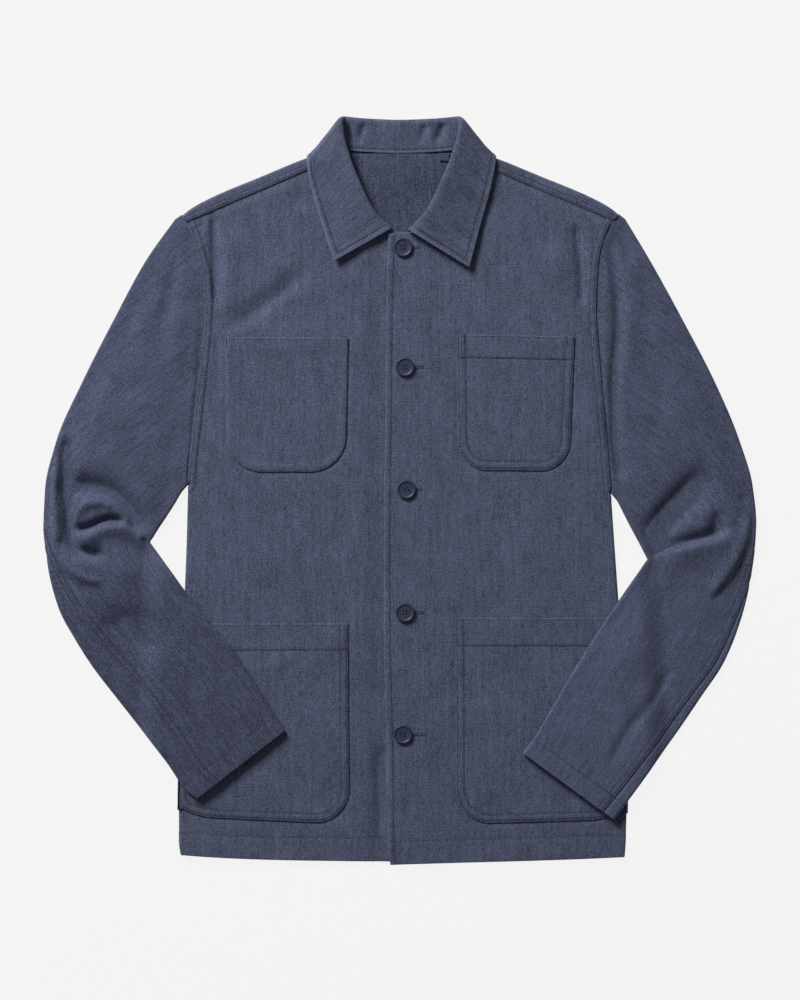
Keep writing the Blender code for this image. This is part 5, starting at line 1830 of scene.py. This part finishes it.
    def sheet(self) -> Sheet:
        """Lays out the piece's grid.

        Returns:
            The sheet, with a ghost column at each side that only sets its slopes.
        """
        rows = self.sections()
        inner, outer, _, seam_in, number, length = rows
        turnings, inner_seam, elbow, once_round = self.seams(inner, outer, seam_in)
        if self.top:
            first, last, columns = inner_seam + GAP / 2, elbow + 0.5, self.top_columns
            fine_first = np.array((0.0, EDGE_ROUND, 3 * EDGE_ROUND, 2.6))
            fine_last = np.array((9.8, 8.8, 8.1, 7.4, 6.6, 5.2, 3.6, 2.4, 1.7, 1.1, EDGE_ROUND, 0.0))
        else:
            first, last, columns = elbow - 1.6, once_round - GAP / 2, self.under_columns
            fine_first = np.array((0.0, EDGE_ROUND, 1.1, 1.8, 2.6, 3.6, 4.8))
            fine_last = np.array((2.6, 3 * EDGE_ROUND, EDGE_ROUND, 0.0))
        count = columns - len(fine_first) - len(fine_last)
        spread = np.linspace(0, 1, count + 2)[1:-1]
        round_ = np.empty((len(number), columns + 2))
        for n, turning in enumerate(turnings):
            low, high = np.interp((first[n] + fine_first[-1], last[n] - fine_last[0]), turning, self.costs)
            middle = np.interp(low + (high - low) * spread, self.costs, turning)
            round_[n] = np.concatenate(
                ((first[n] - 1,), first[n] + fine_first, middle, last[n] - fine_last, (last[n] + 1,))
            )
        points, on_top = self.tube(rows, round_)
        x, y = points[..., 0], points[..., 1]
        cuff = Seam(self.cuff(), (CUFF_DEPTH,), CUFF_DEPTH, thick=0.12, pucker=0.14, pitch=9.0)
        push = cuff.height(x, y)
        away, _, _ = self.cuff().near(x, y)
        turned = turned_in(away, CUFF_DEPTH)
        # the cuff's fading and painted light, with painted shade on the wearer's right forearm and painted
        # light on the left
        worn = cuff.worn(x, y) + FOREARM_LIGHT_AND_SHADE[self.side] * rise(-y, 70, 130)
        if self.top:
            from_seam = last[:, None] - round_
            felled = 1 - rise(from_seam, 7.6, 9.2)
            push = push + 0.28 * felled
            # painted shade darkens each row's groove
            for row in ELBOW_ROWS:
                groove = bell(from_seam - row, 0.9)
                push, worn = push - STITCH_PULL * groove, worn - groove
            drift = 1.5 * np.sin(length / 19)[:, None]
            wave = np.sin(math.tau * (length[:, None] + 0.4 * from_seam) / 9.0 + drift)
            push = push + 0.11 * wave * bell(from_seam - 4.6, 5.0)
            turned = np.maximum(turned, 0.6 * felled)
            # fading and a painted highlight on the seam's edge
            worn = np.clip(worn + bell(from_seam, 1.5), -1, 1)
        else:
            from_seam = round_ - first[:, None]
            push = push - 1.25 * (1 - rise(from_seam, 1.5, 5.0))
        keep = np.ones((points.shape[0] - 1, points.shape[1] - 1), bool)
        keep[:, 0] = keep[:, -1] = False
        return Sheet(
            points,
            self.grain(rows, round_, points),
            CLOTH_WALL + TURNING * turned,
            worn,
            keep,
            push,
            flip=self.side is Side.LEFT,
        )

    def grain(self, rows: tuple[Array, ...], round_: Array, points: Array) -> Array:
        """Places on the cloth's grain, which runs down the arm and doesn't turn towards the armhole.

        Args:
            rows: What sections() gives.
            round_: Places round each row.
            points: The sheet's points.

        Returns:
            Across and along the grain, as rows, columns, 2.
        """
        inner, outer, _, _, number, length = rows
        first = int(np.searchsorted(number, self.grain_from))
        across = (outer[first] - inner[first]) / np.linalg.norm(outer[first] - inner[first])
        down = np.array((-across[1], across[0]))
        down *= np.sign((inner[-1] - inner[first]) @ down)
        half = math.pi * ROLL / 2
        straight = np.linalg.norm(outer - inner, axis=1)[:, None] - 2 * ROLL_OUT
        place = points[..., :2] - inner[first]
        u = half - ROLL_OUT + place @ across + round_ - np.clip(round_, half, half + straight)
        above = (number < number[first])[:, None] & (round_ > -half) & (round_ < half + straight + 2 * half)
        plain = np.stack((round_, np.repeat(-length[:, None], round_.shape[1], axis=1)), axis=-1)
        return np.where(above[..., None], np.stack((u, -length[first] - place @ down), axis=-1), plain)

    def stitches(self, sheet: Sheet) -> list[StitchRow]:
        """Rows of stitches along the elbow seam and the cuff.

        Args:
            sheet: The piece's sheet, whose columns the elbow seam's rows follow.

        Returns:
            The rows.
        """
        rows = [StitchRow(self.cuff().smooth().inside(CUFF_DEPTH), below=below) for below in (False, True)]
        if not self.top:
            return rows[1:]
        last = sheet.points.shape[1] - 2
        for column in (last - 2, last - 8):
            run = sheet.points[:, column]
            on_top = run[:, 2] > REST + 2 * ROLL - 0.6 + self.rise_over_body(run[:, 0], run[:, 1])
            if on_top.sum() > 4:
                rows.append(StitchRow(Path(run[on_top][:, :2])))
        return rows

    def build(self, maker: Dressmaker) -> None:
        """Makes the piece.

        Args:
            maker: Who sews the piece.
        """
        sheet = self.sheet()
        kind = "top" if self.top else "under"
        maker.make(f"{kind}_sleeve_{self.side.word}", [sheet], self.stitches(sheet))


@dataclass
class Collar:
    """One-piece collar: a stand inside the neck, rolled over into the fall."""

    row_step: float = 2.3
    turn: float = 5.0  # length that the roll takes of each side
    stand: float = 40.0  # the stand's run, and the leaf's
    leaf: float = 52.0
    stand_columns: int = 12
    roll_columns: int = 14
    leaf_stitch: float = 6.2
    wall: float = 1.5
    roll_lift: float = 3.6  # the roll stands this much higher at the front than drawn
    far_leaf: float = 0.35  # painted shade: the leaf on the wearer's left is darker
    tips: tuple[tuple[float, float], ...] = ((-66.0, 240.0), (69.0, 234.0))
    tip_lift: float = 2.2  # the leaves stand off the fronts by this at their tips
    edge_lift: float = 1.7  # and along their edges
    piping: float = 2.2  # painted highlight: a pale line along the neck seam, inside the neck
    piping_shade: float = 1.1  # painted shade: a dark line beside it

    def sheet(self) -> Sheet:
        """Lays out the collar's grid, from the wearer's right end to the left.

        Returns:
            The sheet.
        """
        table = np.array([row[1:] for row in COLLAR_SECTIONS]).reshape(-1, 4, 3)
        keys = lengths(table)
        at = places(keys[-1], self.row_step, (self.leaf_stitch, keys[-1] - self.leaf_stitch))
        neck, stand, fall, edge = mono(keys, table.reshape(-1, 12), at).reshape(-1, 4, 3).transpose(1, 0, 2)
        inside = rise(-np.abs(neck[:, 0]), -76, -66) * rise(neck[:, 1], 346, 350)
        curve = 0.00095 * neck[:, 0] ** 2 - 0.6
        neck = neck + np.stack((0 * inside, curve * inside, 0.35 * inside), axis=1)
        level = np.array((1.0, 1.0, 0.0))
        up, down = (stand - neck) * level, (edge - fall) * level
        reach = np.minimum(self.turn, 0.6 * np.linalg.norm(up, axis=1))[:, None]
        up /= np.linalg.norm(up, axis=1)[:, None]
        down /= np.linalg.norm(down, axis=1)[:, None]
        top, under = stand - up * reach, fall + down * reach
        pull = 4 / 3 * (reach - SOLID_WALL / 2)
        low = places(self.stand, self.stand / self.stand_columns, (5.2,)) / self.stand
        low = low[low < 0.95]
        columns = [neck + (top - neck) * share for share in low]
        first, second = top + up * pull, under - down * pull
        for t in np.linspace(0, 1, self.roll_columns + 1)[:-1]:
            ends = top * (1 - t) ** 3 + under * t ** 3
            columns.append(ends + 3 * t * (1 - t) * (first * (1 - t) + second * t))
        shares = places(self.leaf, 2.5, (self.leaf - self.leaf_stitch,)) / self.leaf
        shares = shares[shares > 0.04]
        columns += [under + (edge - under) * share for share in shares]
        points = np.stack(columns, axis=1)
        upright = np.concatenate((low ** 2, np.ones(self.roll_columns), 1 - shares))
        points[..., 2] += self.roll_lift * upright[None] * rise(edge[:, 2], 7.6, 8.2)[:, None]
        fall_from = len(columns) - len(shares)
        from_edge = np.linalg.norm(points - edge[:, None], axis=2)
        x, y = points[..., 0], points[..., 1]
        border = np.minimum(from_edge, np.minimum(at, at[-1] - at)[:, None])
        outer = (np.arange(points.shape[1]) >= fall_from)[None, :] & (points[:, -1:, 2] > 6)
        waves = 0.28 * ripple(x, y, 46, COLLAR_SEED) + 0.10 * ripple(x, y, 17, COLLAR_SEED + 1)
        push = (waves * rise(border, 0, 14) + 0.2 * (1 - rise(border, 5.6, 7.0))) * outer
        groove = bell(border - self.leaf_stitch, 0.9) * outer
        push = push - 1.2 * STITCH_PULL * groove
        on_stand = (np.arange(points.shape[1]) < fall_from - self.roll_columns)[None, :]
        push = push + Folds(STAND_FOLDS).height(x, y) * on_stand
        tips = sum(bell(np.hypot(x - tip_x, y - tip_y), 30) for tip_x, tip_y in self.tips)
        push = push + (self.tip_lift * tips + self.edge_lift * (1 - rise(border, 0, 18))) * outer
        wall = np.full(points.shape[:2], self.wall)
        # fading and a painted highlight along the leaves' edges, painted shade in the stitch groove
        worn = 1.5 * bell(border, 2.6) * outer - groove
        # painted shade on the leaf on the wearer's left
        worn = worn - self.far_leaf * rise(x, 5, 30) * outer
        from_neck = np.linalg.norm(points - neck[:, None], axis=2)
        # painted highlight along the stand's foot, and painted shade beside it
        lines = self.piping * bell(from_neck - 1.5, 1.0) - self.piping_shade * bell(from_neck - 4.0, 0.8)
        worn = worn + lines * inside[:, None]
        weave = np.stack((np.repeat(at[:, None], points.shape[1], axis=1), -unrolled(points)), axis=-1)
        return Sheet(points, weave, wall, worn, push=push, flip=True)

    def stitches(self, sheet: Sheet) -> list[StitchRow]:
        """Rows along the leaves' edges.

        Args:
            sheet: The collar's sheet.

        Returns:
            The rows.
        """
        rows = []
        edge = sheet.points[:, -1]
        for side in Side:
            on_side = (edge[:, 2] > 7.4) & (side.value * edge[:, 0] > 0)
            outline = edge[on_side][:, :2]
            ends = sheet.points[0 if side is Side.RIGHT else -1]
            foot = ends[ends.shape[0] // 2:, :2]
            run = Path(np.concatenate((foot, outline[:: -side.value][1:])))
            rows.append(StitchRow(mitred(run, self.leaf_stitch, side.value)))
        return rows

    def build(self, maker: Dressmaker) -> None:
        """Makes the collar."""
        sheet = self.sheet()
        maker.make("collar", [sheet], self.stitches(sheet))


def mitred(run: Path, distance: float, side: int) -> Path:
    """A run moved to one side, with its corners kept sharp and what crosses itself cut off.

    Args:
        run: The run.
        distance: How far it moves.
        side: 1 to its left, -1 to its right.

    Returns:
        The moved run.
    """
    moved = np.asarray(run.inside(distance * side).points)
    away, _, _ = run.near(moved[:, 0], moved[:, 1])
    return Path(moved[away > distance * 0.93])


@dataclass
class Pocket:
    """A patch pocket on a front."""

    name: str
    side: Side
    outline: tuple
    wraps: bool  # its outer side goes round the torso's
    rows: tuple[float, ...]  # of stitches, in from the rim
    mouth: float  # depth of the mouth's turning
    mouth_stitched: bool
    step: float = 2.3
    bulge: float = 0.55  # how far its middle stands out
    round_foot: float = 8.5  # how far its foot rises where it goes round
    allowance: float = 7.0  # turned under round its rim

    def size(self) -> tuple[float, float, float]:
        """Width and height of the pocket, and its corner's radius."""
        top_left, top_right, foot_left, _, radius = self.outline
        return top_right[0] - top_left[0], top_left[1] - foot_left[1], radius

    def top(self) -> Path:
        """The mouth, walked with the pocket on its left."""
        return Path(self.outline[1::-1])

    def foot_rise(self, from_side: Array) -> Array:
        """How far the foot rises towards the torso's side, where it goes round."""
        return self.round_foot * np.clip(1 - from_side / 32, 0, 1) ** 2 * self.wraps

    def edges(self, fall: Array, inset: Array) -> tuple[Array, Array]:
        """Places across of the two edges.

        Args:
            fall: Depth below the mouth.
            inset: How far a rounded corner comes in there.

        Returns:
            The left and the right edge's place.
        """
        top_left, top_right, foot_left, foot_right, _ = self.outline
        share = fall / self.size()[1]
        left_in = 0 if self.wraps and self.side is Side.RIGHT else inset
        right_in = 0 if self.wraps and self.side is Side.LEFT else inset
        left = top_left[0] + (foot_left[0] - top_left[0]) * share + left_in
        return left, top_right[0] + (foot_right[0] - top_right[0]) * share - right_in

    def rim(self) -> Path:
        """The sewn edge: down the left, round the foot and up the right, with the pocket on its left.

        Returns:
            The edge.
        """
        _, height, radius = self.size()
        turn = np.linspace(0, math.pi / 2, 16)
        straight = np.linspace(0, height - radius, 14)[:-1]
        fall = np.concatenate((straight, height - radius + radius * np.sin(turn)))
        inset = np.concatenate((0 * straight, radius * (1 - np.cos(turn))))
        left, right = self.edges(fall, inset)
        across = np.linspace(0, 1, 30)
        foot = left[-1] + (right[-1] - left[-1]) * across
        x = np.concatenate((left, foot, right[::-1]))
        fall = np.concatenate((fall, fall[-1] + 0 * foot, fall[::-1]))
        points = np.stack((x, self.y_at(x, fall)), axis=1)
        return Path(points[np.diff(lengths(points), prepend=-1) > 0.05])

    def y_at(self, x: Array, fall: Array) -> Array:
        """Height on the plan at places across and depths below the mouth.

        Args:
            x: Places across.
            fall: Depths below the mouth.

        Returns:
            Heights on the plan.
        """
        top_left, top_right, foot_left, foot_right, _ = self.outline
        across = (x - top_left[0]) / self.size()[0]
        top = top_left[1] + (top_right[1] - top_left[1]) * across
        foot = foot_left[1] + (foot_right[1] - foot_left[1]) * across
        outer = self.outline[0][0] if self.side is Side.RIGHT else self.outline[1][0]
        foot = foot + self.foot_rise(np.abs(x - outer))
        return top + (foot - top) * (fall / self.size()[1])

    def sheet(self) -> Sheet:
        """Lays out the pocket's grid.

        Returns:
            The sheet.
        """
        width, height, radius = self.size()
        hem_row = (self.mouth,) if self.mouth_stitched else ()
        straight = places(height - radius, self.step, (MOUTH_ROW, *hem_row))
        straight = straight[straight < height - radius - 1]
        turn = np.linspace(0, math.pi / 2, 28)
        fall = np.concatenate((straight, height - radius + radius * np.sin(turn)))
        inset = np.concatenate((0 * straight, radius * (1 - np.cos(turn))))
        left, right = self.edges(fall, inset)
        marks = [place for row in self.rows for place in (row, width - row)]
        shares = places(width, self.step, marks) / width
        x = left[:, None] + (right - left)[:, None] * shares[None]
        y = self.y_at(x, fall[:, None] + 0 * x)
        z = front_height(x, y, self.side) + POCKET_LIFT
        turned = 9.0 if self.rows else 7.0
        rim = Seam(self.rim(), self.rows, turned, thick=0.16, pucker=0.10, pitch=8.5, wear=0.1)
        mouth = Seam(self.top(), hem_row, self.mouth, thick=0.16, pucker=0.1, wear=0.25)
        from_rim, _, _ = rim.edge.near(x, y)
        from_mouth, _, _ = mouth.edge.near(x, y)
        bulge = self.bulge * rise(from_rim, 6, 40) * (0.6 + 0.4 * rise(-from_mouth, -60, 0))
        z = z + rim.height(x, y) + mouth.height(x, y) + bulge + Folds(POCKET_FOLDS).height(x, y)
        z = z - POCKET_SEAT * bell(from_rim, 1.7)
        band = 1 - rise(from_rim, rim.turned - 0.5, rim.turned + 1.2)
        band = np.maximum(band, turned_in(from_mouth, self.mouth))
        # fading and painted highlight on the edges, painted shade along the rows of stitches
        worn = np.clip(rim.worn(x, y) + mouth.worn(x, y), -1, 1)
        points = np.stack((x, y, z), axis=-1)
        wall = POCKET_CLOTH + 0.35 * band
        weave = np.stack((x, y), axis=-1)
        if self.wraps:
            points, weave, wall, worn = self.wrap(points, weave, wall, worn)
        return Sheet(points, weave, wall, worn, flip=True)

    def wrap(self, points: Array, weave: Array, wall: Array, worn: Array) -> tuple[Array, ...]:
        """Takes the outer side on round the torso's roll.

        Args:
            points: The pocket's points.
            weave: Their weave.
            wall: Their wall.
            worn: Their wear.

        Returns:
            The same four with more columns.
        """
        sign = self.side.value
        points, weave, wall, worn = (values[:, :: sign] for values in (points, weave, wall, worn))
        y = points[:, -1, 1]
        centre = edge_x(self.side, y) - sign * ROLL_OUT
        reach = sign * (centre - points[:, -1, 0])
        lean_in = rise(sign * (points[..., 0] - centre[:, None]), -18.0, 0.0)
        points[..., 2] += (FRONT + POCKET_LIFT - points[..., 2]) * lean_in
        steps = np.linspace(0, 1, 3)[1:]
        out = np.stack((sign * reach, 0 * reach, 0 * reach), axis=1)[:, None]
        flat = points[:, -1:, :] + out * steps[None, :, None]
        angle = math.pi * np.append(np.arange(1, 9) * 0.07, (0.62, 0.65))
        radius = ROLL + POCKET_LIFT
        round_x = centre[:, None] + sign * radius * np.sin(angle)[None]
        round_z = FRONT - ROLL + radius * np.cos(angle)[None] + 0 * round_x
        rolled = np.stack((round_x, y[:, None] + 0 * round_x, round_z), axis=-1)
        grown = np.concatenate((points, flat, rolled), axis=1)
        more = grown.shape[1] - points.shape[1]
        gone = unrolled(grown[:, -more - 1:])[:, 1:]
        far = np.stack((weave[:, -1:, 0] + sign * gone, np.repeat(weave[:, -1:, 1], more, axis=1)), axis=-1)
        weave = np.concatenate((weave, far), axis=1)
        wall = np.concatenate((wall, np.repeat(wall[:, -1:], more, axis=1)), axis=1)
        worn = np.concatenate((worn, np.repeat(worn[:, -1:] * 0.3, more, axis=1)), axis=1)
        return tuple(values[:, :: sign] for values in (grown, weave, wall, worn))

    def stitches(self) -> list[StitchRow]:
        """The pocket's rows of stitches and its bar tacks.

        Returns:
            The rows.
        """
        rim, mouth = self.rim().smooth(2.0), self.top().smooth()
        rows = [StitchRow(mitred(rim, inset, 1)) for inset in self.rows]
        insets = (self.mouth, MOUTH_ROW) if self.mouth_stitched else (MOUTH_ROW,)
        rows += [StitchRow(mouth.inside(inset)) for inset in insets]
        tacks, start, end = (TACKS, 1.0, 9.0) if self.rows else ((1.4,), 0.5, 11.0)
        for (x, y), sign in zip(self.outline[:2], (1, -1)):
            for away in () if self.wraps else tacks:
                run = Path(((x + sign * away, y - start), (x + sign * away, y - end)))
                rows.append(StitchRow(run, StitchKind.TACK))
        return rows

    def build(self, maker: Dressmaker) -> None:
        """Makes the pocket.

        Args:
            maker: Who sews the piece.
        """
        width, height, _ = self.size()
        flat = (MM * (width + 2 * self.allowance), MM * (height + self.mouth + self.allowance))
        area = flat[0] * flat[1] * 0.97  # without its cut corners
        maker.make(self.name, [self.sheet()], self.stitches())


POCKETS = tuple(
    Pocket(f"{place}_pocket_{side.word}", side, outlines[side], place == "lower", rows, mouth, stitched)
    for place, side, outlines, rows, mouth, stitched in (
        ("chest", Side.RIGHT, CHEST_POCKETS, (), 14.0, False),
        ("chest", Side.LEFT, CHEST_POCKETS, (1.8, 9.0), 24.0, True),
        ("lower", Side.RIGHT, LOWER_POCKETS, (1.8, 8.4), 27.8, True),
        ("lower", Side.LEFT, LOWER_POCKETS, (1.8, 8.4), 28.9, True),
    )
)


@dataclass
class LabelTab:
    """The bare folded tape at the neck, below the neck seam."""

    middle: float = 46.0
    top: float = 350.2
    width: float = 10.6
    length: float = 8.0
    wall: float = 0.34
    fold: float = 0.5  # radius of the tape's fold
    colour: tuple[float, float, float] = (0.056, 0.065, 0.110)

    def build(self, maker: Dressmaker) -> None:
        """Makes the tab, its two layers lying on the back's inside.

        Args:
            maker: Who sews the piece.
        """
        low = REST + NECK_LIFT + CLOTH_WALL / 2 + 0.45
        down = np.linspace(0, self.length - self.fold, 9)
        turn = np.linspace(0, math.pi, 9)[1:-1]
        bend = self.top - self.length + self.fold - self.fold * np.sin(turn)
        y = np.concatenate((self.top - down, bend, self.top - down[::-1]))
        z = np.concatenate((0 * down, self.fold - self.fold * np.cos(turn), 2 * self.fold + 0 * down))
        across = places(self.width, 1.2)
        x = self.middle - self.width / 2 + across
        lift = 0.25 * np.sin(math.pi * across / self.width)[None] * rise(self.top - y, 0, 6)[:, None]
        points = np.stack(np.broadcast_arrays(x[None], y[:, None], low + z[:, None] + lift), axis=-1)
        run = lengths(np.stack((y, z), axis=1))
        weave = np.stack(np.broadcast_arrays(x[None], run[:, None]), axis=-1)
        sheet = Sheet(points, weave, np.full(points.shape[:2], self.wall), np.zeros(points.shape[:2]))
        tape = ClothFinish("label_tape", self.colour, warp=0.5, clouds=0.2, yarn=0.0007)
        maker.make("label_tab", [sheet], [], finish=tape.material())


@dataclass
class Button:
    """A four-hole button with a raised rim, sewn on through its holes."""

    name: str
    x: float
    y: float
    turn: float  # degrees
    segments: int = 56
    hole_radius: float = 0.92
    pitch: float = 1.6  # from the middle to a hole, each way
    # radius and height, from the foot over the rim to the hollow
    profile: tuple[tuple[float, float], ...] = (
        (7.4, 0.0), (8.8, 0.25), (9.55, 0.8), (9.85, 1.5), (9.75, 2.2), (9.4, 2.75), (8.9, 2.95),
        (8.35, 2.9), (7.9, 2.6), (7.55, 2.2), (7.1, 1.98), (6.2, 1.9), (4.9, 1.86), (3.7, 1.85),
    )

    def disc(self, finish: bpy.types.Material) -> bpy.types.Object:
        """The turned disc, with its holes cut.

        Args:
            finish: The button's material.

        Returns:
            The disc, in place.
        """
        shape = bmesh.new()
        rings = []
        for radius, height in self.profile:
            angles = np.linspace(0, math.tau, self.segments, endpoint=False)
            ring = [(MM * radius * math.cos(a), MM * radius * math.sin(a), MM * height) for a in angles]
            rings.append([shape.verts.new(corner) for corner in ring])
        for low, high in zip(rings, rings[1:]):
            for n in range(self.segments):
                m = (n + 1) % self.segments
                shape.faces.new((low[n], low[m], high[m], high[n]))
        shape.faces.new(rings[0][::-1])
        shape.faces.new(rings[-1])
        bmesh.ops.recalc_face_normals(shape, faces=shape.faces)
        body = placed("button_body", plain_mesh(self.name, shape))
        guides = [body]
        for sign_x in (-1, 1):
            for sign_y in (-1, 1):
                hole = bmesh.new()
                place = Matrix.Translation((MM * self.pitch * sign_x, MM * self.pitch * sign_y, MM * 1.5))
                bmesh.ops.create_cone(
                    hole,
                    cap_ends=True,
                    segments=20,
                    radius1=MM * self.hole_radius,
                    radius2=MM * self.hole_radius,
                    depth=MM * 9,
                    matrix=place,
                )
                cutter = placed("hole", plain_mesh("hole", hole))
                cut = body.modifiers.new("hole", "BOOLEAN")
                cut.operation = "DIFFERENCE"
                cut.object = cutter
                guides.append(cutter)
        drilled = as_seen(body)
        for guide in guides:
            bpy.data.objects.remove(guide)
        drilled.transform(self.place())
        drilled.materials.clear()
        drilled.materials.append(finish)
        drilled.shade_smooth()
        drilled.set_sharp_from_angle(angle=math.radians(38))
        return placed(f"{self.name}_disc", drilled)

    def place(self) -> Matrix:
        """Where the button sits on the upper front, turned about its own middle.

        Returns:
            The matrix that puts the button there.
        """
        seat = float(front_height(np.array([self.x]), np.array([self.y]), Side.LEFT)[0]) + BUTTON_SEAT
        spin = Matrix.Rotation(math.radians(self.turn), 4, "Z")
        return Matrix.Translation((MM * self.x, MM * self.y, MM * seat)) @ spin

    def threads(self, finish: bpy.types.Material) -> bpy.types.Object:
        """Two bundles of thread between the holes, each of two strands.

        Args:
            finish: The thread's material.

        Returns:
            The threads, in place.
        """
        shape = bmesh.new()
        reach = self.pitch + 0.1
        for row in (-1, 1):
            for strand in (-0.2, 0.2):
                capsule = bmesh.ops.create_uvsphere(shape, u_segments=8, v_segments=8, radius=1.0)
                for vertex in capsule["verts"]:
                    across, up, along = vertex.co
                    arch = 1 - along ** 4
                    vertex.co = (
                        MM * reach * along,
                        MM * (self.pitch * row + strand + 0.17 * across),
                        MM * (1.1 + 0.85 * arch + 0.17 * up),
                    )
        bmesh.ops.recalc_face_normals(shape, faces=shape.faces)
        bmesh.ops.transform(shape, matrix=self.place(), verts=shape.verts)
        mesh = plain_mesh(f"{self.name}_threads", shape)
        mesh.materials.append(finish)
        mesh.shade_smooth()
        return placed(mesh.name, mesh)

    def build(self, finish: bpy.types.Material, thread: bpy.types.Material) -> None:
        """Makes the button and its threads.

        Args:
            finish: The button's material.
            thread: The thread's material.
        """
        disc, threads = self.disc(finish), self.threads(thread)
        for piece, slot in ((disc, "button"), (threads, "cloth")):
            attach(piece, "root")
        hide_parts(self.name)
        LOG.info("%s: %d faces", self.name, len(disc.data.polygons))


@dataclass
class Studio:
    """Pale table, one broad soft lamp beyond the upper left, even fill, and the camera above."""

    lamp_place: tuple[float, float, float] = (-2.0, 2.9, 2.25)
    lamp_size: float = 1.4
    lamp_power: float = 232.0
    fill: float = 0.18
    distance: float = 3.0
    view_height: float = 1.040  # metres of the table that the image's height covers
    view_middle: float = -0.0099
    reach: float = 6.0

    def build(self) -> None:
        """Sets the table, the light and the camera."""
        mesh = bpy.data.meshes.new("table")
        corners = [(self.reach * x, self.reach * y, 0.0) for x, y in ((-1, -1), (1, -1), (1, 1), (-1, 1))]
        mesh.from_pydata(corners, [], [(0, 1, 2, 3)])
        mesh.materials.append(TableFinish().material())
        table = placed("table", mesh)
        light = bpy.data.lights.new("window", "AREA")
        light.size = self.lamp_size
        light.energy = self.lamp_power
        window = placed("window", light)
        window.rotation_mode = "QUATERNION"
        window.rotation_quaternion = Vector(self.lamp_place).to_track_quat("Z", "Y")
        window.location = self.lamp_place
        world = bpy.data.worlds.new("studio")
        world.use_nodes = True
        background = world.node_tree.nodes["Background"]
        background.inputs["Color"].default_value = (0.97, 0.98, 1.0, 1.0)
        background.inputs["Strength"].default_value = self.fill
        scene = bpy.context.scene
        scene.world = world
        scene.view_settings.view_transform = "Standard"
        camera_data = bpy.data.cameras.new("above")
        camera_data.sensor_fit = "VERTICAL"
        camera_data.sensor_height = 24.0
        camera_data.lens = camera_data.sensor_height * self.distance / self.view_height
        camera = placed("above", camera_data)
        camera.location = (0.0, self.view_middle, self.distance)
        scene.camera = camera


def main() -> None:
    """Builds the overshirt, the table, the light and the camera."""
    logging.basicConfig(level=logging.INFO, format="%(name)s %(message)s")
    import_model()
    thread = ThreadFinish().material()
    needle = Needle(stitch_tree(), thread)
    body = Dressmaker(needle, ClothFinish("indigo_cloth", (0.0722, 0.0850, 0.1440)).material())
    # painted shade: the sleeves get a darker copy of the body's cloth
    shaded_sleeve_cloth = ClothFinish("indigo_cloth_sleeves", (0.0640, 0.0750, 0.1315), sheen=0.2)
    arms = Dressmaker(needle, shaded_sleeve_cloth.material())
    Back().build(body)
    for side in Side:
        Front(side).build(body)
        Sleeve(side, top=False).build(arms)
        Sleeve(side, top=True).build(arms)
    Collar().build(body)
    for pocket in POCKETS:
        pocket.build(body)
    LabelTab().build(body)
    button = ButtonFinish().material()
    for name, x, y, turn in BUTTONS:
        Button(name, x, y, turn).build(button, thread)
    Studio().build()


if __name__ == "__main__":
    main()
